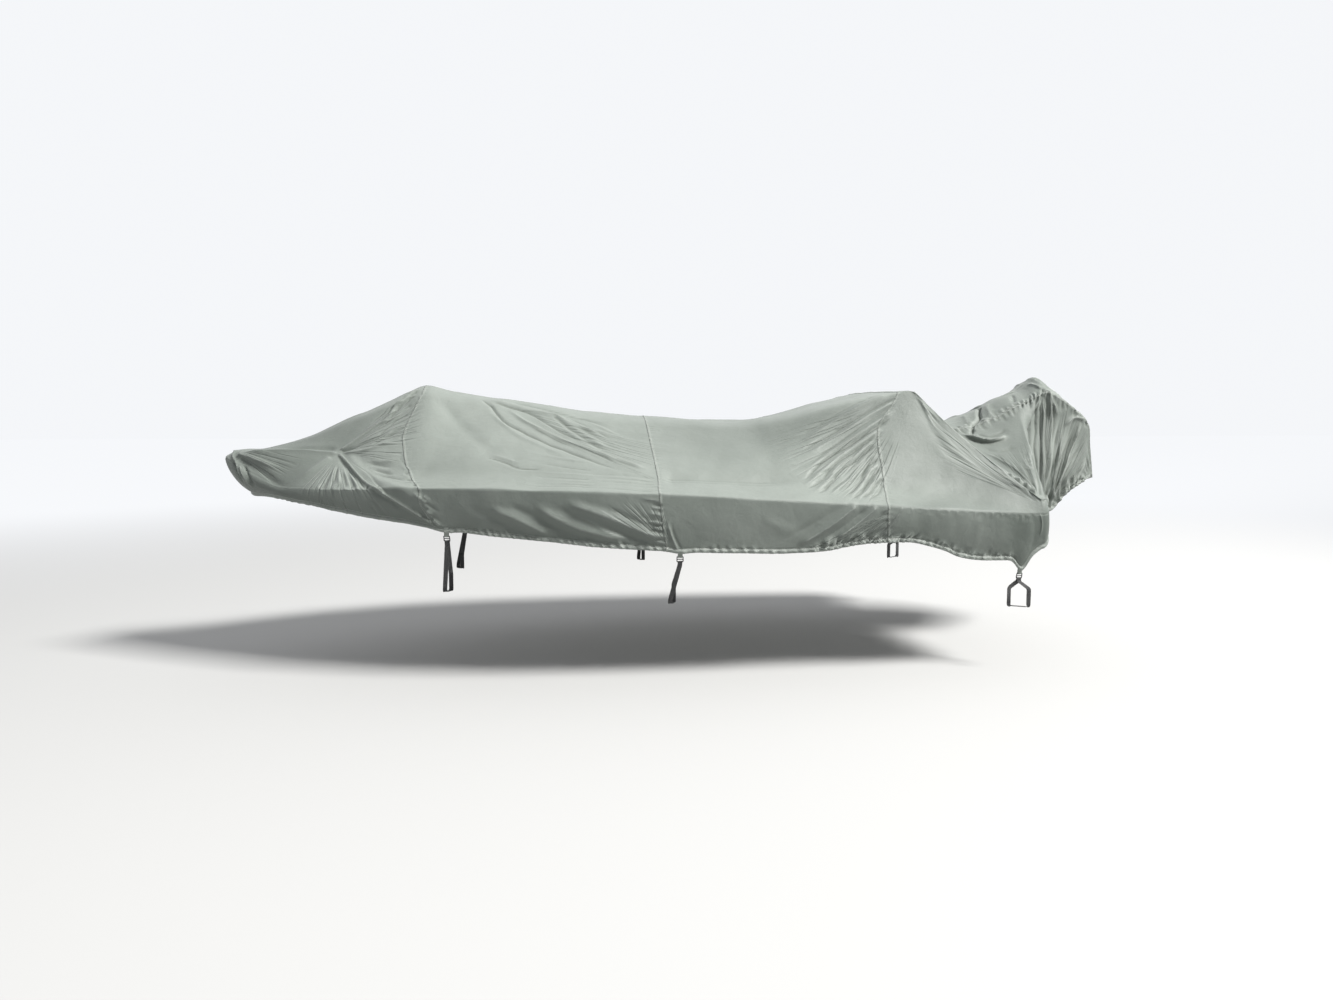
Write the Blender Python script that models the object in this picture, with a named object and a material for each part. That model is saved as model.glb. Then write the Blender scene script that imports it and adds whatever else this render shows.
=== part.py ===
"""A fitted boat cover with a hood for the outboard motor, as a hollow sheet with its folds.

The cover is worked out in bow measure: x runs aft from the bow tip, y to starboard, and z up from the
ground that the boat stands over. place() turns that into the part's own frame, whose origin lies against the
inside of the cover, under the ridge at its lowest dip. One half is built on a grid and mirrored; both halves
are then welded into one surface, cut along the seams into panels, and each panel is given its thickness.
"""
from collections import namedtuple

import bpy
import numpy as np
from mathutils import Vector
from mathutils.bvhtree import BVHTree

SHEET = 0.002           # thickness of the coated cloth
SEAM_SHIFT = 0.0003     # how far each panel stops short of the seam line
GAP = 0.0003            # between pieces that touch
ORIGIN_X = 2.85         # bow measure of the part's origin
ORIGIN_Z = 1.406

CONSOLE_END = 4.011     # back edge of the raised flat over the console
HULL_END = 4.60         # where the sides turn into the transom corners
CORNER = 0.055          # radius of the transom corners
TRANSOM_INNER = 0.35    # half of the cut-out in the transom flap
TRANSOM_TOP_Z = 0.870   # top edge of the transom flap at the cut-out
TRANSOM_HEM_Z = 0.790
CORNER_HEM_RISE = 0.080

# Cross-sections of one half, bow to stern. ridge: height on the centre line; crown: where the top turns
# down; deck: the soft crease along the inner edge of the side deck; gunwale: the fold; hem: the bottom edge.
# rake and tuck move the gunwale and the hem aft of the section, soft is the radius at the crown, and belly is
# how far the skirt swells out halfway down.
Section = namedtuple("Section",
                     "x ridge crown crown_z deck deck_z gunwale gunwale_z rake hem hem_z tuck soft belly")
SECTIONS = [
    Section(0.012, 1.224, 0.000, 1.222, 0.000, 1.214, 0.000, 1.188, -0.042, 0.000, 0.966, 0.110, 0.02, 0.034),
    Section(0.035, 1.227, 0.018, 1.225, 0.045, 1.216, 0.070, 1.177, -0.038, 0.050, 0.966, 0.100, 0.02, 0.034),
    Section(0.100, 1.236, 0.030, 1.233, 0.100, 1.220, 0.150, 1.140, -0.010, 0.125, 0.966, 0.070, 0.02, 0.032),
    Section(0.210, 1.242, 0.040, 1.240, 0.150, 1.226, 0.230, 1.082, 0.000, 0.200, 0.966, 0.040, 0.03, 0.028),
    Section(0.350, 1.282, 0.050, 1.275, 0.185, 1.228, 0.320, 1.032, 0.000, 0.290, 0.957, 0.010, 0.03, 0.020),
    Section(0.510, 1.335, 0.060, 1.322, 0.215, 1.222, 0.415, 1.024, 0.000, 0.385, 0.935, 0.000, 0.03, 0.016),
    Section(0.670, 1.410, 0.070, 1.385, 0.250, 1.210, 0.500, 1.029, 0.000, 0.470, 0.905, 0.000, 0.03, 0.014),
    Section(0.850, 1.497, 0.080, 1.465, 0.420, 1.140, 0.590, 1.036, 0.000, 0.560, 0.875, 0.000, 0.03, 0.012),
    Section(1.020, 1.566, 0.090, 1.530, 0.530, 1.110, 0.665, 1.042, 0.000, 0.635, 0.858, 0.000, 0.04, 0.012),
    Section(1.140, 1.609, 0.100, 1.575, 0.580, 1.100, 0.710, 1.044, 0.000, 0.680, 0.840, 0.000, 0.04, 0.012),
    Section(1.300, 1.576, 0.110, 1.540, 0.630, 1.095, 0.760, 1.045, 0.000, 0.730, 0.815, 0.000, 0.05, 0.012),
    Section(1.600, 1.531, 0.130, 1.500, 0.700, 1.095, 0.850, 1.043, 0.000, 0.820, 0.785, 0.000, 0.06, 0.012),
    Section(2.100, 1.458, 0.160, 1.430, 0.765, 1.090, 0.930, 1.030, 0.000, 0.905, 0.735, 0.000, 0.07, 0.012),
    Section(2.550, 1.420, 0.200, 1.395, 0.790, 1.080, 0.962, 1.013, 0.000, 0.940, 0.705, 0.000, 0.08, 0.012),
    Section(3.000, 1.407, 0.270, 1.385, 0.800, 1.060, 0.980, 0.984, 0.000, 0.960, 0.690, 0.000, 0.08, 0.012),
    Section(3.170, 1.411, 0.305, 1.405, 0.800, 1.052, 0.980, 0.973, 0.000, 0.960, 0.690, 0.000, 0.08, 0.012),
    Section(3.340, 1.442, 0.340, 1.441, 0.800, 1.042, 0.980, 0.962, 0.000, 0.960, 0.700, 0.000, 0.08, 0.012),
    Section(3.580, 1.504, 0.390, 1.503, 0.800, 1.028, 0.980, 0.948, 0.000, 0.960, 0.732, 0.000, 0.07, 0.012),
    Section(3.800, 1.553, 0.435, 1.550, 0.798, 1.013, 0.978, 0.933, 0.000, 0.958, 0.735, 0.000, 0.05, 0.012),
    Section(3.920, 1.576, 0.450, 1.571, 0.796, 1.005, 0.975, 0.925, 0.000, 0.955, 0.712, 0.000, 0.02, 0.012),
    Section(4.011, 1.584, 0.455, 1.577, 0.795, 0.998, 0.972, 0.918, 0.000, 0.952, 0.685, 0.000, 0.00, 0.012),
    Section(4.090, 1.500, 0.512, 1.487, 0.800, 0.990, 0.968, 0.913, 0.000, 0.948, 0.650, 0.000, 0.00, 0.012),
    Section(4.200, 1.400, 0.597, 1.356, 0.820, 0.980, 0.962, 0.906, 0.000, 0.940, 0.628, 0.000, 0.00, 0.012),
    Section(4.350, 1.400, 0.706, 1.199, 0.855, 0.965, 0.955, 0.897, 0.000, 0.932, 0.620, 0.000, 0.00, 0.012),
    Section(4.500, 1.400, 0.820, 1.050, 0.895, 0.945, 0.945, 0.885, 0.000, 0.924, 0.630, 0.000, 0.00, 0.012),
    Section(4.600, 1.400, 0.900, 0.958, 0.920, 0.925, 0.937, 0.880, 0.000, 0.918, 0.680, 0.000, 0.00, 0.012),
]
WIDTHS = ("crown", "deck", "gunwale", "hem")
FINE_STEPS = 2001       # of the table that finds a section from its x
AHEAD = 0.05            # of a section, over which the gunwale's direction in plan is taken
DECK_SOFT = 0.060       # radius at the deck crease
GUNWALE_SOFT = 0.022    # radius at the gunwale
ROUND_SHARE = 0.45      # of a run, the most that a rounded corner takes up

# Cross seams: how far aft each one lies where it passes the stated place round the girth, 0 at the ridge,
# 1 crown, 2 deck crease, 3 gunwale, 4 hem.
SeamPoint = namedtuple("SeamPoint", "girth x")
SEAM_A = [
    SeamPoint(0.00, 1.135),
    SeamPoint(1.00, 1.120),
    SeamPoint(1.45, 1.045),
    SeamPoint(1.65, 1.047),
    SeamPoint(2.00, 1.095),
    SeamPoint(3.00, 1.165),
    SeamPoint(3.50, 1.180),
    SeamPoint(4.00, 1.250),
]
SEAM_B = [
    SeamPoint(0.0, 2.450),
    SeamPoint(1.0, 2.445),
    SeamPoint(2.0, 2.445),
    SeamPoint(3.0, 2.430),
    SeamPoint(4.0, 2.470),
]
SEAM_C = [
    SeamPoint(0.00, 3.950),
    SeamPoint(1.00, 3.930),
    SeamPoint(1.35, 3.770),
    SeamPoint(1.80, 3.738),
    SeamPoint(2.00, 3.725),
    SeamPoint(3.00, 3.676),
    SeamPoint(4.00, 3.685),
]

# Rulings of the hood. at: 0 console back corner, 1 transom corner, 2 inner end of the transom flap, 3 rear of
# the hem. seam: where the side panel joins the top strip; top: the centre line of the strip.
Ruling = namedtuple("Ruling", "at seam_x seam_y seam_z top_x top_z")
RULINGS = [
    Ruling(0.00, 4.011, 0.2275, 1.580, 4.011, 1.584),
    Ruling(0.30, 4.120, 0.225, 1.455, 4.120, 1.460),
    Ruling(0.55, 4.260, 0.220, 1.362, 4.270, 1.372),
    Ruling(0.75, 4.420, 0.215, 1.350, 4.420, 1.394),
    Ruling(0.90, 4.560, 0.210, 1.384, 4.560, 1.449),
    Ruling(1.00, 4.660, 0.210, 1.418, 4.670, 1.494),
    Ruling(1.50, 4.840, 0.210, 1.510, 4.860, 1.570),
    Ruling(2.00, 4.960, 0.210, 1.598, 4.990, 1.646),
    Ruling(2.15, 5.015, 0.205, 1.635, 5.040, 1.681),
    Ruling(2.35, 5.105, 0.210, 1.592, 5.135, 1.620),
    Ruling(2.60, 5.220, 0.210, 1.490, 5.250, 1.516),
    Ruling(2.80, 5.315, 0.200, 1.385, 5.340, 1.415),
    Ruling(2.90, 5.350, 0.180, 1.250, 5.385, 1.262),
    Ruling(2.96, 5.372, 0.165, 1.140, 5.408, 1.150),
    Ruling(3.00, 5.405, 0.130, 1.025, 5.440, 1.020),
]
HemPoint = namedtuple("HemPoint", "at x y z")
HOOD_HEM = [
    HemPoint(2.00, 4.655, 0.350, 0.870),
    HemPoint(2.25, 4.860, 0.315, 0.828),
    HemPoint(2.50, 5.030, 0.285, 0.824),
    HemPoint(2.65, 5.117, 0.260, 0.907),
    HemPoint(2.80, 5.225, 0.230, 0.972),
    HemPoint(3.00, 5.320, 0.185, 1.016),
]

# The main folds of one side, seen from that side: a line from one end to the other, its half-width and its
# height, below zero for a trough.
Fold = namedtuple("Fold", "area x1 z1 x2 z2 width height")
FOLDS = [
    Fold("hull", 0.66, 1.22, 1.25, 0.84, 0.045, 0.022),     # tight ridge from the bow peg to the first tie
    Fold("hull", 0.68, 1.25, 1.10, 1.56, 0.050, -0.018),    # valley up to the forward peak
    Fold("hull", 0.68, 1.24, 1.03, 1.33, 0.045, 0.014),
    Fold("hull", 0.20, 1.22, 0.64, 1.22, 0.040, 0.012),
    Fold("hull", 1.44, 1.53, 2.36, 1.27, 0.060, -0.014),
    Fold("hull", 1.44, 1.49, 2.42, 1.13, 0.060, 0.012),
    Fold("hull", 1.55, 0.93, 1.82, 0.82, 0.050, 0.016),     # sausage folds of the skirt
    Fold("hull", 1.78, 0.93, 2.22, 0.79, 0.050, 0.016),
    Fold("hull", 1.93, 0.95, 2.42, 0.78, 0.045, -0.014),
    Fold("hull", 3.30, 1.27, 3.90, 1.54, 0.060, 0.014),     # fan under the console corner
    Fold("hull", 3.32, 1.14, 3.86, 1.46, 0.060, -0.014),
    Fold("hull", 3.20, 0.73, 3.52, 0.94, 0.050, 0.018),
    Fold("hood", 4.64, 0.98, 4.94, 1.53, 0.050, -0.030),    # deep folds, transom corner to the peak
    Fold("hood", 4.66, 0.96, 5.05, 1.45, 0.045, 0.020),
    Fold("hood", 4.42, 1.30, 4.68, 1.29, 0.055, 0.030),     # slack pouch in front of the motor
    Fold("hood", 4.10, 1.42, 4.55, 0.98, 0.045, -0.020),    # valley behind the tent ridge
]

# Tie-downs: where the strap leaves the hem, how far it draws the hem down and over what length, and the bar
# it passes round: its side distance, top, depth and width. lean is how far aft the strap meets the bar, and
# apart the distance fore and aft between its two legs there.
Tie = namedtuple("Tie", "name x drop spread bar_y bar_top bar_depth bar_width lean apart")
TIES = [
    Tie("bow", 1.300, 0.012, 0.060, 0.410, 0.520, 0.090, 0.050, -0.028, 0.030),
    Tie("mid", 2.535, 0.010, 0.060, 0.780, 0.500, 0.098, 0.050, -0.022, 0.027),
    Tie("stern", 4.480, 0.068, 0.040, 0.930, 0.458, 0.100, 0.050, -0.010, -0.090),
]
LOOP_WIDTH = 0.026
LOOP_PLY = 0.0013
LOOP_BORE = 0.0052
LOOP_INSIDE = 0.026     # of the loop above the hem edge
LOOP_HANG = 0.024       # below it
LOOP_SEARCH = 0.008     # from where a loop is brought out against the cloth
LOOP_ACROSS_TRIES = 7   # places tried over the loop's width and height
LOOP_UP_TRIES = 9
LOOP_CLEAR = 1.5 * GAP
LOOP_TURN_POINTS = 7
HEM_RUN = 3.7           # girth above the hem that the loop's direction is taken from
HEM_REACH = 0.02        # and how far fore and aft
BUCKLE_WIDTH = 0.038
BUCKLE_DEEP = 0.034
BUCKLE_THICK = 0.0045
BUCKLE_RAIL = 0.005
STRAP_WIDTH = 0.025
STRAP_THICK = 0.0015
STRAP_BEND = 0.012      # radius where the strap turns round the bar
STRAP_APART = 0.0022    # of each ply from the middle of the buckle
STRAP_STRAIGHT = 0.015  # that hangs plumb under the buckle
STRAP_LEG = 0.02        # last part of the outer leg, where the bar stands inside the cloth
BEND_POINTS = 7
STRAP_SIDES = (("port", -1), ("starboard", 1))

# Rows round the girth (0 ridge to 4 hem) and columns of each panel.
GIRTH = np.array([
    0.00, 0.25, 0.50, 0.62, 0.75, 0.88, 1.00, 1.12, 1.30,
    1.50, 1.70, 1.86, 2.00, 2.50, 3.00, 3.30, 3.65, 4.00])
CROWN_ROW = 6
STRIP_ROW = 2
BOW_COLUMNS = 9
BOW_CROWDING = 1.6      # power that brings the bow's columns closer together round the nose
FORWARD_COLUMNS = 10
CENTRE_COLUMNS = 11
CONSOLE_COLUMNS = 3
RIDGE_COLUMNS = 8
TIE_COLUMNS = 3         # of them, aft of the last tie
CORNER_COLUMNS = 3
TRANSOM_COLUMNS = 4
HEM_COLUMNS = 8

CLOTH = (0.45, 0.49, 0.44, 1.0)
CLOTH_ROUGH = 0.75
BLACK = (0.03, 0.03, 0.032, 1.0)
BUCKLE_ROUGH = 0.4
STRAP_ROUGH = 0.7
TINY = 1e-6             # keeps a division from failing where a length is zero
WELD_GRID = 1e5         # per metre, on which points that coincide are found
Patch = namedtuple("Patch", "points area panels outward")


def columns_of(table):
    """The table's columns as a dictionary of arrays."""
    return {name: np.array([getattr(row, name) for row in table], float)
            for name in table[0]._fields if not isinstance(getattr(table[0], name), str)}


def smooth(values, place, mirror=None):
    """Catmull-Rom curve through values, read at fractional row numbers, with mirror times the second row before
    the first: (2b + (c - a)t + (2a - 5b + 4c - d)t² + (3b - a - 3c + d)t³) / 2, for rows a, b, c, d round t."""
    before = 2 * values[0] - values[1] if mirror is None else mirror * values[1]
    padded = np.concatenate([[before], values, [2 * values[-1] - values[-2]]])
    row = np.clip(np.floor(place).astype(int), 0, len(values) - 2)
    part = place - row
    a, b, c, d = padded[row], padded[row + 1], padded[row + 2], padded[row + 3]
    square = (2 * a - 5 * b + 4 * c - d) * part**2
    cube = (3 * b - a - 3 * c + d) * part**3
    return (2 * b + (c - a) * part + square + cube) / 2


def section_at(x):
    """Every measure of the cross-section at x, smooth along the boat and round through the bow tip. aft and
    side give the gunwale's direction in plan."""
    table = columns_of(SECTIONS)
    fine = np.linspace(0, len(SECTIONS) - 1, FINE_STEPS)
    place = np.interp(x, smooth(table["x"], fine, mirror=1), fine)
    section = {}
    for name, column in table.items():
        section[name] = smooth(column, place, mirror=-1 if name in WIDTHS else 1)
    after, before = place + AHEAD, place - AHEAD
    ahead = smooth(table["x"], after, mirror=1) - smooth(table["x"], before, mirror=1)
    wider = smooth(table["gunwale"], after, mirror=-1) - smooth(table["gunwale"], before, mirror=-1)
    section["aft"] = ahead / np.hypot(ahead, wider)
    section["side"] = wider / np.hypot(ahead, wider)
    for tie in TIES:
        section["hem_z"] = section["hem_z"] - tie.drop * np.exp(-((x - tie.x) / tie.spread) ** 2)
    section["soft"] = np.clip(section["soft"], 0, None)
    return section


def hull_point(x, girth):
    """Point of the starboard half at x and girth: straight runs between the section's five points, each inner
    corner replaced by a parabola that starts its radius before the corner and ends its radius after it."""
    x, girth = np.broadcast_arrays(np.asarray(x, float), np.asarray(girth, float))
    s = section_at(x)
    corners = np.stack([
        np.stack([x, 0 * x, s["ridge"]], -1),
        np.stack([x, s["crown"], s["crown_z"]], -1),
        np.stack([x, s["deck"], s["deck_z"]], -1),
        np.stack([x + s["rake"], s["gunwale"], s["gunwale_z"]], -1),
        np.stack([x + s["tuck"], s["hem"], s["hem_z"]], -1)])
    run = np.clip(np.floor(girth).astype(int), 0, 3)
    start = np.take_along_axis(corners, run[None, ..., None], 0)[0]
    end = np.take_along_axis(corners, run[None, ..., None] + 1, 0)[0]
    point = start + (end - start) * (girth - run)[..., None]
    for corner, radius in ((1, s["soft"]), (2, DECK_SOFT), (3, GUNWALE_SOFT)):
        here = corners[corner]
        to_before = corners[corner - 1] - here
        to_after = corners[corner + 1] - here
        before = np.minimum(radius / np.maximum(np.linalg.norm(to_before, axis=-1), TINY), ROUND_SHARE)
        after = np.minimum(radius / np.maximum(np.linalg.norm(to_after, axis=-1), TINY), ROUND_SHARE)
        turn = (girth - corner + before) / np.maximum(before + after, TINY)
        bend = here + to_before * (before * (1 - turn) ** 2)[..., None]
        bend = bend + to_after * (after * turn**2)[..., None]
        inside = (turn > 0) & (turn < 1)
        point = np.where(inside[..., None], bend, point)
    swell = s["belly"] * np.where(girth > 3, 4 * (girth - 3) * (4 - girth), 0)
    return point + np.stack([-s["side"] * swell, s["aft"] * swell, 0 * swell], -1)


def seam_x(seam, girth):
    """How far aft the seam lies at each girth, on a smooth curve through its points."""
    table = columns_of(seam)
    return smooth(table["x"], np.interp(girth, table["girth"], np.arange(len(seam))))


def hull_patch():
    """Grid of the half hull, nose to transom corner: columns run between the seams, rows round the girth."""
    ones = np.ones_like(GIRTH)
    lines = [ones * SECTIONS[0].x, seam_x(SEAM_A, GIRTH), seam_x(SEAM_B, GIRTH), seam_x(SEAM_C, GIRTH),
             ones * CONSOLE_END, ones * TIES[-1].x, ones * HULL_END]
    counts = [BOW_COLUMNS, FORWARD_COLUMNS, CENTRE_COLUMNS, CONSOLE_COLUMNS, RIDGE_COLUMNS - TIE_COLUMNS,
              TIE_COLUMNS]
    names = ["bow_panel", "forward_panel", "centre_panel", "stern_panel", "stern_panel", "stern_panel"]
    x, panels = [lines[0]], []
    for left, right, count, name in zip(lines, lines[1:], counts, names):
        steps = np.arange(1, count + 1) / count
        if name == "bow_panel":
            steps = steps**BOW_CROWDING
        x += [left + (right - left) * step for step in steps]
        panels += [name] * count
    return hull_point(np.array(x), GIRTH[None, :]), panels


def transom_patch(edge):
    """Grid that carries the hull's last column round the corner and along the transom to the cut-out: each
    row turns a quarter circle and runs straight in, while its height goes to the flap's own."""
    girth = (GIRTH[CROWN_ROW:] - 1) / 3
    turn = np.arange(1, CORNER_COLUMNS + 1) / CORNER_COLUMNS * np.pi / 2
    inner_z = TRANSOM_TOP_Z + (TRANSOM_HEM_Z - TRANSOM_TOP_Z) * girth
    corner_z = edge[:, 2] + CORNER_HEM_RISE * girth**2
    columns = [edge]
    for angle in turn:
        turned = 1 - np.cos(angle)
        columns.append(np.stack([
            edge[:, 0] + CORNER * np.sin(angle),
            edge[:, 1] - CORNER * turned,
            edge[:, 2] + (corner_z - edge[:, 2]) * turned], -1))
    last = columns[-1]
    inner = np.stack([last[:, 0], 0 * last[:, 1] + TRANSOM_INNER, inner_z], -1)
    columns += [last + (inner - last) * step / TRANSOM_COLUMNS for step in range(1, TRANSOM_COLUMNS + 1)]
    return np.array(columns)


def hood_patch(front, ridge, transom):
    """Grid of the half hood: straight rulings from its lower edge up to the strip seam, then a parabola over
    the strip to the centre line. The lower edge is the tent ridge, the transom flap's top and the free hem."""
    at_ridge = np.arange(len(ridge)) / (len(ridge) - 1)
    at_transom = 1 + np.arange(1, len(transom)) / (len(transom) - 1)
    at_hem = 2 + np.arange(1, HEM_COLUMNS + 1) / HEM_COLUMNS
    at = np.concatenate([at_ridge, at_transom, at_hem])
    hem = columns_of(HOOD_HEM)
    place = np.interp(at_hem, hem["at"], np.arange(len(HOOD_HEM)))
    free = np.stack([smooth(hem[name], place) for name in "xyz"], -1)
    low = np.concatenate([ridge, transom[1:], free])
    table = columns_of(RULINGS)
    place = np.interp(at, table["at"], np.arange(len(RULINGS)))
    line = {name: smooth(column, place) for name, column in table.items()}
    seam = np.stack([line["seam_x"], line["seam_y"], line["seam_z"]], -1)
    top = np.stack([line["top_x"], 0 * at, line["top_z"]], -1)
    side = (1 - GIRTH[STRIP_ROW:CROWN_ROW + 1][::-1]) / (1 - GIRTH[STRIP_ROW])
    strip = 1 - GIRTH[:STRIP_ROW][::-1] / GIRTH[STRIP_ROW]
    rows = [low + (seam - low) * step for step in side]
    for step in strip:
        arch = 1 - (1 - step) ** 2
        across = seam + (top - seam) * arch
        across[:, 1] = seam[:, 1] * (1 - step)
        rows.append(across)
    grid = np.stack(rows, 1)
    grid[0] = front
    panels = ["hood_side"] * (len(side) - 1) + ["hood_top_strip"] * len(strip)
    return grid, panels


def patches():
    """Every grid of both halves, with the panel each of its cells belongs to."""
    hull, hull_panels = hull_patch()
    console = len(hull) - 1 - RIDGE_COLUMNS
    transom = transom_patch(hull[-1, CROWN_ROW:])
    hood, hood_panels = hood_patch(hull[console, CROWN_ROW::-1], hull[console:, CROWN_ROW], transom[:, 0])
    made = []
    for side_name, side in STRAP_SIDES:
        flip = np.array([1, side, 1])
        fore = np.array(hull_panels[:console])[:, None]
        aft = np.array(hull_panels[console:])[:, None]
        wrap = np.full((len(transom) - 1, 1), "stern_panel")
        over = [name + ("_" + side_name if name == "hood_side" else "") for name in hood_panels]
        made += [
            Patch(hull[:console + 1] * flip, "hull", fore, side),
            Patch(hull[console:, CROWN_ROW:] * flip, "hull", aft, side),
            Patch(transom * flip, "hull", wrap, side),
            Patch(hood * flip, "hood", np.array(over)[None, :], -side)]
    return made


def weld(made):
    """One surface from all grids: points that coincide become one, and cells keep the name of their panel."""
    points = np.concatenate([patch.points.reshape(-1, 3) for patch in made])
    areas = np.concatenate([np.full(patch.points[..., 0].size, patch.area) for patch in made])
    keys = np.round(points * WELD_GRID).astype(np.int64)
    _, first, index = np.unique(keys, axis=0, return_index=True, return_inverse=True)
    index = index.ravel()
    cells, names, start = [], [], 0
    for patch in made:
        rows, across = patch.points.shape[:2]
        number = index[start:start + rows * across].reshape(rows, across)
        quad = [number[:-1, :-1], number[:-1, 1:], number[1:, 1:], number[1:, :-1]]
        quad = np.stack(quad if patch.outward < 0 else quad[::-1], -1).reshape(-1, 4)
        cells.append(quad)
        names.append(np.broadcast_to(patch.panels, (rows - 1, across - 1)).reshape(-1))
        start += rows * across
    return points[first], areas[first], np.concatenate(cells), np.concatenate(names)


def triangles_of(points, cells):
    """Each four-sided cell as two triangles across its shorter diagonal, and which of them have an area."""
    a, b, c, d = (points[cells[:, k]] for k in range(4))
    short = np.linalg.norm(a - c, axis=1) <= np.linalg.norm(b - d, axis=1)
    one = np.where(short[:, None], cells[:, [0, 1, 2]], cells[:, [0, 1, 3]])
    two = np.where(short[:, None], cells[:, [0, 2, 3]], cells[:, [1, 2, 3]])
    both = np.stack([one, two], 1).reshape(-1, 3)
    kept = (both[:, 0] != both[:, 1]) & (both[:, 1] != both[:, 2]) & (both[:, 2] != both[:, 0])
    return both, kept


def normals_of(points, triangles):
    """Outward direction at each point: the sum of its triangles' normals, each weighted by area."""
    a, b, c = (points[triangles[:, k]] for k in range(3))
    face = np.cross(b - a, c - a)
    total = np.zeros_like(points)
    for k in range(3):
        np.add.at(total, triangles[:, k], face)
    return total / np.linalg.norm(total, axis=1, keepdims=True)


def fold_height(points, areas):
    """How far the folds lift each point: a bell across each fold's line, dying away at both ends."""
    lift = np.zeros(len(points))
    place = points[:, [0, 2]]
    for fold in FOLDS:
        start = np.array([fold.x1, fold.z1])
        along = np.array([fold.x2, fold.z2]) - start
        length = np.linalg.norm(along)
        step = (place - start) @ along / length**2
        off = place - start - np.clip(step, 0, 1)[:, None] * along
        across = np.linalg.norm(off, axis=1) / fold.width
        lift += np.where(areas == fold.area, fold.height * np.exp(-across**2), 0)
    return lift


def place(points):
    """Bow measure to the part's own frame."""
    return np.asarray(points, float) - np.array([ORIGIN_X, 0, ORIGIN_Z])


def material(name, colour, roughness):
    """A plain material of one colour."""
    made = bpy.data.materials.new(name)
    made.use_nodes = True
    shader = made.node_tree.nodes["Principled BSDF"]
    shader.inputs["Base Color"].default_value = colour
    shader.inputs["Roughness"].default_value = roughness
    return made


def solid(name, points, faces, colour, roughness):
    """One named object from points in bow measure and faces that point out."""
    mesh = bpy.data.meshes.new(name)
    mesh.from_pydata(place(points).tolist(), [], np.asarray(faces).tolist())
    mesh.materials.append(material(name + "_finish", colour, roughness))
    made = bpy.data.objects.new(name, mesh)
    bpy.context.collection.objects.link(made)
    return made


def seam_shift(points, cells, names, panel):
    """Small step, at each point of a seam, from the other panels' cells towards this panel's."""
    centre = points[cells].mean(1)
    mine = names == panel
    step = np.zeros_like(points)
    for chosen, sign in ((mine, 1), (~mine, -1)):
        total = np.zeros_like(points)
        count = np.zeros(len(points))
        for k in range(4):
            np.add.at(total, cells[chosen, k], centre[chosen])
            np.add.at(count, cells[chosen, k], 1)
        step += sign * total / np.maximum(count, 1)[:, None]
        step[count == 0] = np.inf
    shared = np.isfinite(step).all(1)
    size = np.linalg.norm(step, axis=1, keepdims=True)
    return np.where(shared[:, None], step / np.where(shared[:, None], size, 1) * SEAM_SHIFT, 0)


def cloth_panel(panel, points, cells, names, triangles, kept, normals):
    """The panel's sheet: its outer face, the same face one thickness inside, and a rim that joins them."""
    mine = np.repeat(names == panel, 2) & kept
    outer = triangles[mine]
    used, local = np.unique(outer, return_inverse=True)
    local = local.reshape(-1, 3)
    moved = points + seam_shift(points, cells, names, panel)
    skin = moved[used]
    lining = skin - normals[used] * SHEET
    edges = np.concatenate([local[:, [0, 1]], local[:, [1, 2]], local[:, [2, 0]]])
    code = edges[:, 0] * len(used) + edges[:, 1]
    back = edges[:, 1] * len(used) + edges[:, 0]
    rim = edges[~np.isin(code, back)]
    inner = local[:, ::-1] + len(used)
    low = rim + len(used)
    start, end = rim.T
    low_start, low_end = low.T
    # Both panels of a seam split its wall along the same diagonal.
    falling = (used[start] < used[end])[:, None]
    walls = np.concatenate([
        np.where(falling, np.stack([end, start, low_end], -1), np.stack([end, start, low_start], -1)),
        np.where(falling, np.stack([start, low_start, low_end], -1), np.stack([end, low_start, low_end], -1)),
    ])
    faces = np.concatenate([local, inner, walls])
    solid(panel, np.concatenate([skin, lining]), faces, CLOTH, CLOTH_ROUGH)


def ribbon(path, across, width, thick, closed):
    """A flat band along path: each of its rings is a rectangle, its long side along across."""
    ahead = np.roll(path, -1, 0) - np.roll(path, 1, 0)
    if not closed:
        ahead[0], ahead[-1] = path[1] - path[0], path[-1] - path[-2]
    ahead /= np.linalg.norm(ahead, axis=1, keepdims=True)
    wide = across - ahead * (across * ahead).sum(1, keepdims=True)
    wide /= np.linalg.norm(wide, axis=1, keepdims=True)
    out = np.cross(ahead, wide)
    corners = ((-1, -1), (1, -1), (1, 1), (-1, 1))
    rings = np.stack([path + wide * a * width / 2 + out * b * thick / 2 for a, b in corners], 1)
    count = len(path)
    number = np.arange(count * 4).reshape(count, 4)
    after = np.roll(number, -1, 0) if closed else number[1:]
    ring = number if closed else number[:-1]
    faces = []
    for k in range(4):
        beside = (k + 1) % 4
        faces.append(np.stack([ring[:, k], ring[:, beside], after[:, beside], after[:, k]], -1))
    if not closed:
        faces += [number[0][::-1][None], number[-1][None]]
    return rings.reshape(-1, 3), np.concatenate(faces)


def rounded_path(corners, radius, closed):
    """The line through corners with each turn replaced by a parabola."""
    corners = np.asarray(corners, float)
    path = [] if closed else [corners[0]]
    turns = range(len(corners)) if closed else range(1, len(corners) - 1)
    for k in turns:
        here, before, after = corners[k], corners[k - 1], corners[(k + 1) % len(corners)]
        enter = here + (before - here) * min(radius / np.linalg.norm(before - here), ROUND_SHARE)
        leave = here + (after - here) * min(radius / np.linalg.norm(after - here), ROUND_SHARE)
        for w in np.linspace(0, 1, BEND_POINTS):
            path.append(enter * (1 - w)**2 + here * 2 * w * (1 - w) + leave * w**2)
    return np.array(path if closed else path + [corners[-1]])


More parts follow.
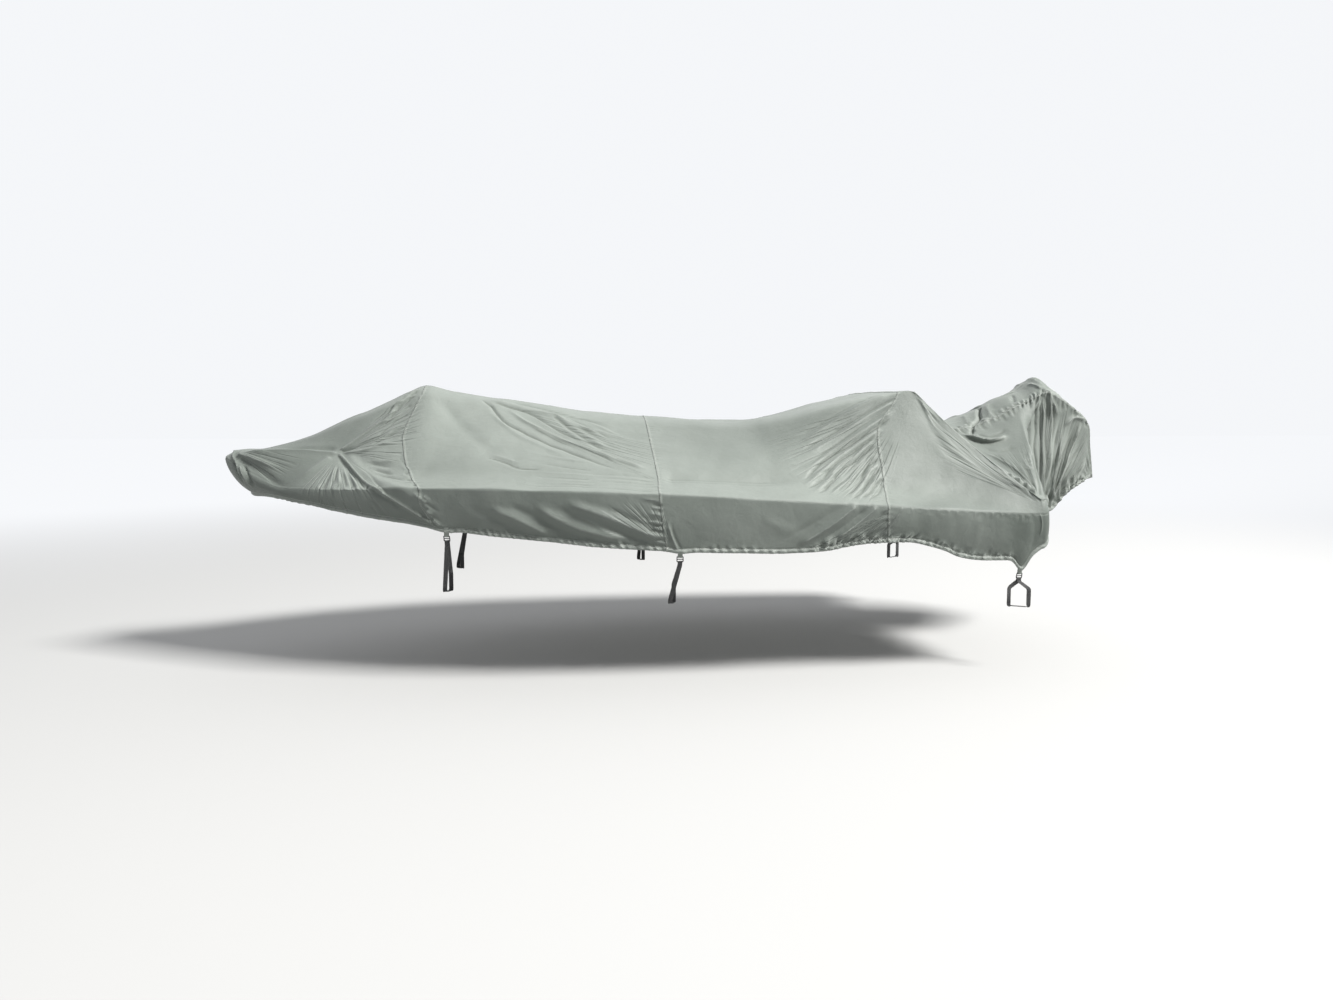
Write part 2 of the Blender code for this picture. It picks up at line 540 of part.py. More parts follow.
def tie_frame(tie, side, inset=0.0):
    """A point inset from the hem edge at the tie, with the directions down the skirt, out and along it."""
    edge, above = hull_point(tie.x, 4.0), hull_point(tie.x, HEM_RUN)
    down = edge - above
    down /= np.linalg.norm(down)
    along = hull_point(tie.x + HEM_REACH, 4.0) - hull_point(tie.x - HEM_REACH, 4.0)
    along -= down * (along @ down)
    along /= np.linalg.norm(along)
    out = np.cross(along, down)
    out *= np.sign(out[1])
    flip = np.array([1, side, 1])
    return (edge - out * inset) * flip, down * flip, out * flip, along * flip


def loop_inset(tie, lining):
    """How far inside the hem edge a loop's face lies when it is brought out to one gap from the lining."""
    start, down, out, along = tie_frame(tie, 1, LOOP_SEARCH)
    reach = []
    for across in np.linspace(-LOOP_WIDTH / 2, LOOP_WIDTH / 2, LOOP_ACROSS_TRIES):
        for height in np.linspace(0, LOOP_INSIDE + LOOP_BORE, LOOP_UP_TRIES):
            tried = Vector(start + along * across - down * height)
            distance = lining.ray_cast(tried, Vector(out), LOOP_SEARCH * 4)[3]
            if distance is not None:
                reach.append(distance)
    return LOOP_SEARCH - min(reach) + LOOP_CLEAR


def hem_loop(tie, side_name, side, inset):
    """A folded band sewn up inside the hem: two plies that meet in a round end below it."""
    edge, down, out, along = tie_frame(tie, side, inset)
    half = (LOOP_BORE + LOOP_PLY) / 2
    centre = edge - out * (half + LOOP_PLY / 2)
    top = centre - down * LOOP_INSIDE
    bottom = centre + down * (LOOP_HANG - half)
    turn = np.linspace(-np.pi / 2, np.pi / 2, LOOP_TURN_POINTS)
    low = [bottom + out * half * np.sin(-a) + down * half * np.cos(a) for a in turn]
    high = [top + out * half * np.sin(a) - down * half * np.cos(a) for a in turn]
    path = np.array(low + high)
    points, faces = ribbon(path, np.broadcast_to(along * side, path.shape), LOOP_WIDTH, LOOP_PLY, True)
    solid("hem_loop_" + tie.name + "_" + side_name, points, outward(points, faces), CLOTH, CLOTH_ROUGH)


def buckle_centre(tie, side, inset):
    """Middle of the buckle: its top bar lies in the round end of the loop."""
    edge, down, out, along = tie_frame(tie, side, inset)
    bar = edge - out * (LOOP_PLY + LOOP_BORE / 2)
    rest = LOOP_HANG - (LOOP_BORE + LOOP_PLY) / 2 - BUCKLE_RAIL / 2
    return bar + down * (rest + BUCKLE_DEEP / 2 - BUCKLE_RAIL / 2), down, out, along


def buckle(tie, side_name, side, inset):
    """A flat frame with a top, a middle and a bottom bar."""
    centre, down, out, along = buckle_centre(tie, side, inset)
    side_bar, end_bar = BUCKLE_WIDTH / 2, BUCKLE_DEEP / 2
    across = [-side_bar, -side_bar + BUCKLE_RAIL, side_bar - BUCKLE_RAIL, side_bar]
    middle_bar = BUCKLE_RAIL / 2
    high = [-end_bar, -end_bar + BUCKLE_RAIL, -middle_bar, middle_bar, end_bar - BUCKLE_RAIL, end_bar]
    windows = {(1, 1), (1, 3)}
    grid = np.array([[along * a + down * h for h in high] for a in across])
    flat = grid.reshape(-1, 3)
    half = out * BUCKLE_THICK / 2
    points = centre + np.concatenate([flat + half, flat - half])
    number = np.arange(len(flat)).reshape(len(across), len(high))
    faces = []
    cells = [(i, j) for i in range(len(across) - 1) for j in range(len(high) - 1)]
    filled = [cell for cell in cells if cell not in windows]
    edges = set()
    for i, j in filled:
        quad = [number[i, j], number[i + 1, j], number[i + 1, j + 1], number[i, j + 1]]
        faces.append(quad)
        faces.append([q + len(flat) for q in quad[::-1]])
        edges |= {(quad[k], quad[(k + 1) % 4]) for k in range(4)}
    for a, b in sorted(edges):
        if (b, a) not in edges:
            faces.append([b, a, a + len(flat), b + len(flat)])
    solid("buckle_" + tie.name + "_" + side_name, points, outward(points, faces), BLACK, BUCKLE_ROUGH)


def strap_path(tie, side, inset):
    """Route of the strap: from the buckle's bottom bar down outside the bar, under it, up inside and back."""
    centre, down, out, _ = buckle_centre(tie, side, inset)
    foot = centre + down * (BUCKLE_DEEP / 2 + LOOP_CLEAR)
    outer = tie.bar_y + tie.bar_width / 2 + STRAP_THICK
    inner = tie.bar_y - tie.bar_width / 2 - STRAP_THICK
    top = tie.bar_top + STRAP_THICK
    low = tie.bar_top - tie.bar_depth - STRAP_THICK
    x = tie.x + tie.lean
    half = tie.apart / 2
    corners = [
        foot + out * STRAP_APART,
        foot + out * STRAP_APART + down * STRAP_STRAIGHT,
        np.array([x - half, side * outer, top if outer > abs(foot[1]) else low + STRAP_LEG]),
        np.array([x - half, side * outer, low]),
        np.array([x + half, side * inner, low]),
        np.array([x + half, side * inner, top]),
        foot - out * STRAP_APART + down * STRAP_STRAIGHT,
        foot - out * STRAP_APART]
    return rounded_path(corners, STRAP_BEND, False)


def tie_strap(tie, side_name, side, inset):
    """The flat webbing on its route, its width fore and aft."""
    path = strap_path(tie, side, inset)
    across = np.broadcast_to(np.array([1.0, 0, 0]), path.shape)
    points, faces = ribbon(path, across, STRAP_WIDTH, STRAP_THICK, False)
    solid("tie_strap_" + tie.name + "_" + side_name, points, outward(points, faces), BLACK, STRAP_ROUGH)


def outward(points, faces):
    """The faces, all turned round when they enclose a negative volume."""
    total = 0.0
    for face in faces:
        a = points[face[0]]
        for k in range(1, len(face) - 1):
            total += np.dot(a, np.cross(points[face[k]], points[face[k + 1]]))
    return [list(face)[::-1] for face in faces] if total < 0 else [list(face) for face in faces]


def main():
    """The panels of the cover, then the loop, buckle and strap of each tie-down."""
    for old in list(bpy.data.objects):
        bpy.data.objects.remove(old)
    points, areas, cells, names = weld(patches())
    triangles, kept = triangles_of(points, cells)
    normals = normals_of(points, triangles[kept])
    points = points + normals * fold_height(points, areas)[:, None]
    normals = normals_of(points, triangles[kept])
    for panel in sorted(set(names)):
        cloth_panel(panel, points, cells, names, triangles, kept, normals)
    lining = BVHTree.FromPolygons((points - normals * SHEET).tolist(), triangles[kept].tolist())
    for tie in TIES:
        inset = loop_inset(tie, lining)
        for side_name, side in STRAP_SIDES:
            hem_loop(tie, side_name, side, inset)
            buckle(tie, side_name, side, inset)
            tie_strap(tie, side_name, side, inset)


main()
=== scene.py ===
"""A fitted cover of coated cloth, drawn taut and tied down, with a hood raised at its stern.

Every measure is in metres. The cover is worked out in bow measure, as it is cut: x runs aft from the bow
tip, y to starboard and z up from the ground; place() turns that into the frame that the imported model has. A
place on the hull part is (x, girth): girth runs over the cloth from 0 on the ridge, 1 where the top turns
down, 2 along the inner edge of the side deck, 3 on the gunwale, to 4 on the hem. A place on the hood is
(at, rise): at runs aft along its lower edge, 0 console, 1 transom corner, 2 end of the transom flap, 3 rear,
and rise goes up from 0 on that edge, 1 on the seam of the top strip, to 2 on the centre line.
"""
from collections import namedtuple

import bpy
import mathutils
import numpy as np
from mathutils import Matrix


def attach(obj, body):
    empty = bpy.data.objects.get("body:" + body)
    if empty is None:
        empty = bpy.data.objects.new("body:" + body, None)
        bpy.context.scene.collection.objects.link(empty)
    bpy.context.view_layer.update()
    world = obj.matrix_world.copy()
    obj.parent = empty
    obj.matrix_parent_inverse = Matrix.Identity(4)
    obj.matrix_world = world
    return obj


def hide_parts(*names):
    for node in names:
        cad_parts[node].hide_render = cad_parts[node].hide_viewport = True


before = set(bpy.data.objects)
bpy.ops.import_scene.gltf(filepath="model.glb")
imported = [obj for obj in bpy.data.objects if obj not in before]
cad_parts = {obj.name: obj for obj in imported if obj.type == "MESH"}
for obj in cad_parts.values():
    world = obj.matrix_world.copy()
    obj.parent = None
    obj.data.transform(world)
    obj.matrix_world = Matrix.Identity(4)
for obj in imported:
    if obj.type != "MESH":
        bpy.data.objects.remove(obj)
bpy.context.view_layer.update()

# ------------------------------------------------------------------ camera

EYE = (-1.05, -5.70, 0.010)
LOOK_DOWN = np.radians(5.13)
LOOK_AFT = np.radians(7.9)
FOCAL_LENGTH = 24.68
SENSOR = 36.0


def photographer():
    """The camera at the height of the hood, a little forward of the middle, turned a little aft and down."""
    data = bpy.data.cameras.new("camera")
    data.lens = FOCAL_LENGTH
    data.sensor_width = SENSOR
    made = bpy.data.objects.new("camera", data)
    made.location = EYE
    made.rotation_euler = (np.pi / 2 - LOOK_DOWN, 0, -LOOK_AFT)
    bpy.context.collection.objects.link(made)
    bpy.context.scene.camera = made


# ------------------------------------------------------------------ shape of the cover

ORIGIN_X = 2.85         # bow measure of the frame's origin
ORIGIN_Z = 1.406
SHEET = 0.0013          # thickness of the coated cloth

CONSOLE_END = 4.011     # back edge of the raised flat over the console
HULL_END = 4.60         # where the sides turn into the transom corners
LAST_TIE = 4.480
LAST_TIE_AT = 0.625     # the hood's at where the last tie is
CORNER = 0.055          # radius of the transom corners
CORNER_AT = 3 / 7       # share of the transom's at that the corner takes
RIDGE_AT = (0, LAST_TIE_AT, 1)                 # down the tent ridge: the hood's at
RIDGE_X = (CONSOLE_END, LAST_TIE, HULL_END)    # and the hull's x
TRANSOM_INNER = 0.35
TRANSOM_TOP_Z = 0.870
TRANSOM_HEM_Z = 0.790
CORNER_HEM_RISE = 0.080
GUNWALE_SOFT = 0.010
MOST_ROUNDED = 0.45     # most of a straight run that a rounded corner may take
SECTION_STEPS = 2001    # steps by which the section numbers are read from x
NUDGE = 0.05            # sections to either side by which the gunwale's direction is read
TINY = 1e-6             # keeps a division by a length from failing

Section = namedtuple("Section",
                     "x ridge crown crown_z deck deck_z gunwale gunwale_z rake "
                     "hem hem_z tuck soft belly deck_soft")
SECTIONS = [Section(*row) for row in (
    (0.012, 1.224, 0.000, 1.222, 0.000, 1.214, 0.000, 1.188, -0.042, 0.000, 0.966, 0.110, 0.02, 0.034, 0.030),
    (0.035, 1.227, 0.018, 1.225, 0.045, 1.216, 0.070, 1.177, -0.038, 0.050, 0.966, 0.100, 0.02, 0.034, 0.024),
    (0.100, 1.236, 0.030, 1.233, 0.100, 1.220, 0.150, 1.140, -0.010, 0.125, 0.966, 0.070, 0.02, 0.032, 0.022),
    (0.210, 1.242, 0.040, 1.240, 0.150, 1.226, 0.230, 1.082, 0.000, 0.200, 0.966, 0.040, 0.03, 0.028, 0.020),
    (0.350, 1.282, 0.050, 1.275, 0.185, 1.228, 0.320, 1.032, 0.000, 0.290, 0.957, 0.010, 0.03, 0.020, 0.020),
    (0.510, 1.335, 0.060, 1.322, 0.215, 1.222, 0.415, 1.024, 0.000, 0.385, 0.935, 0.000, 0.03, 0.016, 0.020),
    (0.670, 1.410, 0.070, 1.385, 0.250, 1.210, 0.500, 1.029, 0.000, 0.470, 0.905, 0.000, 0.03, 0.014, 0.024),
    (0.850, 1.497, 0.080, 1.465, 0.420, 1.140, 0.590, 1.036, 0.000, 0.560, 0.875, 0.000, 0.03, 0.012, 0.050),
    (1.020, 1.566, 0.090, 1.530, 0.530, 1.110, 0.665, 1.042, 0.000, 0.635, 0.858, 0.000, 0.04, 0.012, 0.060),
    (1.140, 1.609, 0.100, 1.575, 0.580, 1.100, 0.710, 1.044, 0.000, 0.680, 0.840, 0.000, 0.04, 0.012, 0.060),
    (1.300, 1.576, 0.110, 1.540, 0.630, 1.095, 0.760, 1.045, 0.000, 0.730, 0.815, 0.000, 0.05, 0.012, 0.060),
    (1.600, 1.531, 0.130, 1.500, 0.700, 1.095, 0.850, 1.043, 0.000, 0.820, 0.785, 0.000, 0.06, 0.012, 0.060),
    (2.100, 1.458, 0.160, 1.430, 0.765, 1.090, 0.930, 1.030, 0.000, 0.905, 0.735, 0.000, 0.07, 0.012, 0.045),
    (2.550, 1.420, 0.200, 1.395, 0.790, 1.080, 0.962, 1.013, 0.000, 0.940, 0.705, 0.000, 0.08, 0.012, 0.022),
    (3.000, 1.407, 0.270, 1.385, 0.800, 1.060, 0.980, 0.984, 0.000, 0.960, 0.690, 0.000, 0.08, 0.012, 0.018),
    (3.170, 1.411, 0.305, 1.405, 0.800, 1.052, 0.980, 0.973, 0.000, 0.960, 0.690, 0.000, 0.08, 0.012, 0.030),
    (3.340, 1.442, 0.340, 1.441, 0.800, 1.042, 0.980, 0.962, 0.000, 0.960, 0.700, 0.000, 0.08, 0.012, 0.050),
    (3.580, 1.504, 0.390, 1.503, 0.800, 1.028, 0.980, 0.948, 0.000, 0.960, 0.732, 0.000, 0.07, 0.012, 0.060),
    (3.800, 1.553, 0.435, 1.550, 0.798, 1.013, 0.978, 0.933, 0.000, 0.958, 0.735, 0.000, 0.05, 0.012, 0.060),
    (3.920, 1.576, 0.450, 1.571, 0.796, 1.005, 0.975, 0.925, 0.000, 0.955, 0.712, 0.000, 0.02, 0.012, 0.110),
    (4.011, 1.584, 0.455, 1.577, 0.795, 0.998, 0.972, 0.918, 0.000, 0.952, 0.685, 0.000, 0.00, 0.012, 0.110),
    (4.090, 1.500, 0.512, 1.487, 0.800, 0.990, 0.968, 0.913, 0.000, 0.948, 0.650, 0.000, 0.00, 0.012, 0.110),
    (4.200, 1.400, 0.597, 1.356, 0.820, 0.980, 0.962, 0.906, 0.000, 0.940, 0.628, 0.000, 0.00, 0.012, 0.110),
    (4.350, 1.400, 0.706, 1.199, 0.855, 0.965, 0.955, 0.897, 0.000, 0.932, 0.620, 0.000, 0.00, 0.012, 0.110),
    (4.500, 1.400, 0.820, 1.050, 0.895, 0.945, 0.945, 0.885, 0.000, 0.924, 0.630, 0.000, 0.00, 0.012, 0.040),
    (4.600, 1.400, 0.900, 0.958, 0.920, 0.925, 0.937, 0.880, 0.000, 0.918, 0.680, 0.000, 0.00, 0.012, 0.030),
)]
WIDTHS = ("crown", "deck", "gunwale", "hem")

# Cross seams: how far aft each one lies where it passes a place round the girth.
SEAM_A = {0: 1.135, 1: 1.120, 1.45: 1.045, 1.65: 1.047, 2: 1.095, 3: 1.165, 3.5: 1.180, 4: 1.250}
SEAM_B = {0: 2.450, 1: 2.445, 2: 2.445, 3: 2.430, 4: 2.470}
SEAM_C = {0: 3.950, 1: 3.930, 1.35: 3.770, 1.8: 3.738, 2: 3.725, 3: 3.676, 4: 3.685}

# Hood: the seam of its top strip, and the strip's middle, by at.
Ruling = namedtuple("Ruling", "at seam_x seam_y seam_z top_x top_z")
RULINGS = [Ruling(*row) for row in (
    (0.00, 4.011, 0.2275, 1.580, 4.011, 1.584),
    (0.30, 4.120, 0.225, 1.455, 4.120, 1.460),
    (0.55, 4.260, 0.220, 1.362, 4.270, 1.372),
    (0.75, 4.420, 0.215, 1.350, 4.420, 1.394),
    (0.90, 4.560, 0.210, 1.384, 4.560, 1.440),
    (1.00, 4.660, 0.210, 1.415, 4.670, 1.488),
    (1.25, 4.755, 0.210, 1.462, 4.770, 1.540),
    (1.50, 4.840, 0.210, 1.504, 4.860, 1.578),
    (1.75, 4.905, 0.210, 1.536, 4.925, 1.606),
    (2.00, 4.960, 0.210, 1.560, 4.990, 1.650),
    (2.15, 5.015, 0.205, 1.582, 5.040, 1.681),
    (2.35, 5.092, 0.205, 1.554, 5.112, 1.598),
    (2.60, 5.205, 0.205, 1.482, 5.222, 1.498),
    (2.80, 5.312, 0.200, 1.385, 5.332, 1.408),
    (2.90, 5.350, 0.180, 1.250, 5.385, 1.262),
    (2.96, 5.372, 0.165, 1.140, 5.408, 1.150),
    (3.00, 5.405, 0.130, 1.025, 5.440, 1.020),
)]
HemPoint = namedtuple("HemPoint", "at x y z")
HOOD_HEM = [HemPoint(*row) for row in (
    (2.00, 4.655, 0.350, 0.870),
    (2.25, 4.860, 0.315, 0.828),
    (2.50, 5.030, 0.285, 0.824),
    (2.65, 5.117, 0.260, 0.907),
    (2.80, 5.225, 0.230, 0.972),
    (3.00, 5.320, 0.185, 1.016),
)]

# Tie-downs. drop and spread: how far the hem is pulled down at x, and how wide. bar_y to bar_width: the
# block of space that the strap's lower turn goes round. lean: how far aft of x that turn lies. apart: how
# far aft of the strap's outer run the inner one comes up.
Tie = namedtuple("Tie", "name x drop spread bar_y bar_top bar_depth bar_width lean apart")
TIES = [
    Tie("bow", 1.300, 0.012, 0.060, 0.410, 0.520, 0.090, 0.050, -0.028, 0.030),
    Tie("mid", 2.535, 0.010, 0.060, 0.780, 0.500, 0.098, 0.050, -0.022, 0.027),
    Tie("stern", 4.480, 0.068, 0.040, 0.930, 0.458, 0.100, 0.050, -0.010, -0.090),
]
SIDES = (("port", -1), ("starboard", 1))


def columns_of(table):
    """The table's columns as a dictionary of arrays."""
    return dict(zip(table[0]._fields, np.array(table, float).T))


def smooth(values, place, mirror=None):
    """Catmull-Rom curve through values, read at fractional row numbers. The row before the first carries
    on from the first two, or is mirror times the second."""
    values = np.asarray(values, float)
    before = 2 * values[0] - values[1] if mirror is None else mirror * values[1]
    padded = np.concatenate([[before], values, [2 * values[-1] - values[-2]]])
    row = np.clip(np.floor(place).astype(int), 0, len(values) - 2)
    part = place - row
    if values.ndim > 1:
        part = part[..., None]
    a, b, c, d = padded[row], padded[row + 1], padded[row + 2], padded[row + 3]
    bend = (2 * a - 5 * b + 4 * c - d) * part**2 + (3 * b - a - 3 * c + d) * part**3
    return 0.5 * (2 * b + (c - a) * part + bend)


def section_at(x):
    """Every measure of the cross-section at x, smooth along the hull and round through the bow tip. aft
    and side give the gunwale's direction in plan."""
    table = columns_of(SECTIONS)
    fine = np.linspace(0, len(SECTIONS) - 1, SECTION_STEPS)
    row = np.interp(x, smooth(table["x"], fine, mirror=1), fine)
    section = {name: smooth(column, row, -1 if name in WIDTHS else 1) for name, column in table.items()}
    ahead, wider = (smooth(table[name], row + NUDGE, mirror) - smooth(table[name], row - NUDGE, mirror)
                    for name, mirror in (("x", 1), ("gunwale", -1)))
    section["aft"] = ahead / np.hypot(ahead, wider)
    section["side"] = wider / np.hypot(ahead, wider)
    for tie in TIES:
        section["hem_z"] = section["hem_z"] - tie.drop * np.exp(-((x - tie.x) / tie.spread) ** 2)
    section["soft"] = np.clip(section["soft"], 0, None)
    return section


def hull_point(x, girth):
    """Starboard half at (x, girth): straight runs between the section's five points, each inner corner
    replaced by a parabola from its radius before the corner to its radius after it, and a skirt that
    swells halfway down."""
    x, girth = np.broadcast_arrays(np.asarray(x, float), np.asarray(girth, float))
    s = section_at(x)
    corners = np.stack([np.stack(corner, -1) for corner in (
        (x, 0 * x, s["ridge"]), (x, s["crown"], s["crown_z"]), (x, s["deck"], s["deck_z"]),
        (x + s["rake"], s["gunwale"], s["gunwale_z"]), (x + s["tuck"], s["hem"], s["hem_z"]))])
    run = np.clip(np.floor(girth).astype(int), 0, 3)
    start, end = (np.take_along_axis(corners, run[None, ..., None] + k, 0)[0] for k in (0, 1))
    point = start + (end - start) * (girth - run)[..., None]
    for corner, radius in ((1, s["soft"]), (2, s["deck_soft"]), (3, GUNWALE_SOFT)):
        here = corners[corner]
        arms = corners[corner - 1] - here, corners[corner + 1] - here
        before, after = (np.minimum(radius / np.maximum(np.linalg.norm(arm, axis=-1), TINY), MOST_ROUNDED)
                         for arm in arms)
        turn = (girth - corner + before) / np.maximum(before + after, TINY)
        shares = before * (1 - turn) ** 2, after * turn**2
        bend = here + arms[0] * shares[0][..., None] + arms[1] * shares[1][..., None]
        point = np.where(((turn > 0) & (turn < 1))[..., None], bend, point)
    swell = s["belly"] * np.where(girth > 3, 4 * (girth - 3) * (4 - girth), 0)
    return point + np.stack([-s["side"] * swell, s["aft"] * swell, 0 * swell], -1)


def seam_x(seam, girth):
    """How far aft the seam lies at each girth, on a smooth curve through its points."""
    return smooth(list(seam.values()), np.interp(girth, list(seam), np.arange(len(seam))))


def skirt_length(x):
    """Length of the cloth from the gunwale to the hem at x."""
    s = section_at(x)
    reach = s["hem"] - s["gunwale"], s["hem_z"] - s["gunwale_z"], s["tuck"] - s["rake"]
    return np.sqrt(reach[0] ** 2 + reach[1] ** 2 + reach[2] ** 2)


def transom_column(edge, girth, t):
    """The hull's last column carried a share t of the way round the corner and along the transom to the
    cut-out: a quarter circle, then a straight run in, while its height goes to the flap's own."""
    drop = (girth - 1) / 3
    angle = np.pi / 2 * min(t / CORNER_AT, 1)
    rise = CORNER_HEM_RISE * drop**2 * np.sin(angle / 2) ** 2 * 2
    sideways = 0 * drop - CORNER * (1 - np.cos(angle))
    point = edge + np.stack([0 * drop + CORNER * np.sin(angle), sideways, rise], -1)
    inner_z = TRANSOM_TOP_Z + (TRANSOM_HEM_Z - TRANSOM_TOP_Z) * drop
    inner = np.stack([point[:, 0], 0 * drop + TRANSOM_INNER, inner_z], -1)
    return point + (inner - point) * max(t - CORNER_AT, 0) / (1 - CORNER_AT)


def hood_low(at):
    """The hood's lower edge: down the tent ridge, round the transom corner to the cut-out, then the free
    hem."""
    at = np.asarray(at, float)
    ridge = hull_point(np.interp(at, RIDGE_AT, RIDGE_X), 1.0)
    corner = hull_point(np.array([HULL_END]), np.array([1.0]))
    shares = np.clip(at.ravel() - 1, 0, 1)
    transom = np.stack([transom_column(corner, np.array([1.0]), t)[0] for t in shares])
    hem = columns_of(HOOD_HEM)
    row = np.interp(at, hem["at"], np.arange(len(HOOD_HEM)))
    free = np.stack([smooth(hem[name], row) for name in "xyz"], -1)
    beyond = np.where(at[..., None] <= 2, transom.reshape(at.shape + (3,)), free)
    return np.where(at[..., None] <= 1, ridge, beyond)


def hood_rows(low, at, rise):
    """The half hood over its lower edge: straight rulings up to the strip seam, then a parabola over the
    strip."""
    table = columns_of(RULINGS)
    row = np.interp(at, table["at"], np.arange(len(RULINGS)))
    line = {name: smooth(column, row) for name, column in table.items()}
    seam = np.stack([line["seam_x"], line["seam_y"], line["seam_z"]], -1)
    top = np.stack([line["top_x"], 0 * at, line["top_z"]], -1)
    up, over = (np.clip(rise - start, 0, 1)[..., None] for start in (0, 1))
    point = low + (seam - low) * up + (top - seam) * (1 - (1 - over) ** 2)
    point[..., 1] = np.where(rise > 1, seam[..., 1] * (1 - over[..., 0]), point[..., 1])
    return point


def hood_point(at, rise):
    """Starboard half of the hood at (at, rise)."""
    at, rise = np.broadcast_arrays(np.asarray(at, float), np.asarray(rise, float))
    return hood_rows(hood_low(at), at, rise)


SURFACES = {"hull": hull_point, "hood": hood_point}


def place(points):
    """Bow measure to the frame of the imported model."""
    return np.asarray(points, float) - np.array([ORIGIN_X, 0, ORIGIN_Z])


# ------------------------------------------------------------------ grids of the cloth

# Cells of the fine grid, all even because the lining has every other point.
RIDGE_CELLS = 20        # ridge to crown on the front panels
TENT_CELLS = 92         # the same on the stern panel and the hood
STRIP_CELLS = 24        # of them, across half the top strip
DECK_CELLS = 80         # crown to the deck crease
GUNWALE_CELLS = 26      # deck crease to gunwale
SKIRT_CELLS = 34        # gunwale to the hem band
BOW_CELLS = 180
FORWARD_CELLS = 184
CENTRE_CELLS = 188
CONSOLE_CELLS = 40
RIDGE_LINE_CELLS = 96   # console to transom corner
CORNER_CELLS = 14
TRANSOM_CELLS = 62
FREE_CELLS = 92         # along the hood's free hem
HEM_BAND = np.array([48, 42, 37, 33, 30, 27, 24, 21, 18, 15, 12, 9, 6, 3, 0]) / 1000
LAP = 0.010             # how far a panel reaches over the one before it
LAP_STEPS = np.array([-10, -6, -2, 0, 2.5, 6]) / 1000
LAP_MARGIN = 1.4        # the first whole column comes this many last lap steps behind the seam
LAP_RISE = 0.0017
NOSE_CROWDING = 1.35
DECK_CROWDING = 1.15
HOOD_CROWDING = 0.04
NOMINAL_SKIRT = 0.30    # skirt length by which the seams' rows are counted
FAR = 1.0               # stands for a distance beyond the reach of any edge
WELD_STEPS = 1e5        # steps to the metre by which points that coincide are found
FREE_EDGE = 0.06        # at over which the hood's lower edge goes from seam to free hem
FRONT_RIDGE = np.linspace(0, 1, RIDGE_CELLS + 1)[:-1]

Patch = namedtuple("Patch", "points area panels outward along around hem lap_edge seam calm")


def hood_rises():
    """Rise of the hood's rows, crowded a little towards its lower edge and the strip seam."""
    even = np.linspace(0, 1, TENT_CELLS - STRIP_CELLS + 1)
    side = even - HOOD_CROWDING * np.sin(2 * np.pi * even)
    return np.concatenate([side, 1 + np.linspace(0, 1, STRIP_CELLS + 1)[1:]])


def rows_above(ridge):
    """Girth of the rows above the gunwale: the given ones as far as the crown, then even steps."""
    return np.concatenate([ridge, 1 + np.linspace(0, 1, DECK_CELLS + 1)[:-1] ** DECK_CROWDING,
                           2 + np.linspace(0, 1, GUNWALE_CELLS + 1)[:-1]])


def girth_grid(x, ridge):
    """Girth of every row at each column: the rows above the gunwale, even steps down the skirt, then a
    band above the hem whose rows lie at fixed distances from it."""
    above = rows_above(ridge)
    length = skirt_length(x[:, len(above):])
    skirt = np.arange(SKIRT_CELLS) / SKIRT_CELLS
    band = 1 - HEM_BAND / length[:, SKIRT_CELLS:]
    top = 1 - HEM_BAND[0] / length[:, :SKIRT_CELLS]
    return np.concatenate([np.broadcast_to(above, (len(x), len(above))), 3 + skirt * top, 3 + band], 1)


def nominal_girth(ridge):
    """Girth of the rows as the seams are read, before the hem band is set to its own distances."""
    band = 1 - HEM_BAND / NOMINAL_SKIRT
    return np.concatenate([rows_above(ridge), 3 + np.arange(SKIRT_CELLS) / SKIRT_CELLS * band[0], 3 + band])


def columns_between(left, right, cells, lapped):
    """Columns from the left seam line to the right one, after those of the lap over the panel before."""
    if not lapped:
        return left + (right - left) * ((np.arange(cells + 1) / cells) ** NOSE_CROWDING)[:, None]
    first = left + LAP_STEPS[-1] * LAP_MARGIN
    body = first + (right - first) * (np.arange(cells + 1) / cells)[:, None]
    return np.concatenate([left + LAP_STEPS[:, None], body])


def arc(points, axis):
    """Distance run along the grid lines of one axis, from their first point."""
    step = np.linalg.norm(np.diff(points, axis=axis), axis=-1)
    return np.concatenate([np.zeros_like(np.take(step, [0], axis=axis)), np.cumsum(step, axis=axis)], axis)


def both_sides(grid):
    """A half's rows, ridge to hem, as one run from the port hem over the ridge to the starboard hem."""
    port = grid * [1, -1, 1] if grid.ndim == 3 else grid
    return np.concatenate([port[:, :0:-1], grid], 1)


def hull_half(x, ridge, lap_from=None):
    """One half of a hull patch: its points and the measures that its folds, stitches and weave go by."""
    points = hull_point(x, girth_grid(x, ridge))
    around = arc(points, 1)
    edge = np.full_like(x, FAR) if lap_from is None else x - lap_from + LAP
    return points, np.broadcast_to(x[:, :1], x.shape), around, around[:, -1:] - around, edge


def hem_to_hem(name, half):
    """Both halves of a hull patch as one that runs from hem to hem."""
    points, *measures = (both_sides(grid) for grid in half)
    return Patch(points, "hull", name, 1, *measures, *np.full((2,) + points.shape[:2], FAR))


def front_panel(name, left, right, cells, lapped):
    """A panel that runs from hem to hem between two cross seams."""
    x = columns_between(left, right, cells, lapped)
    return hem_to_hem(name, hull_half(x, FRONT_RIDGE, left if lapped else None))


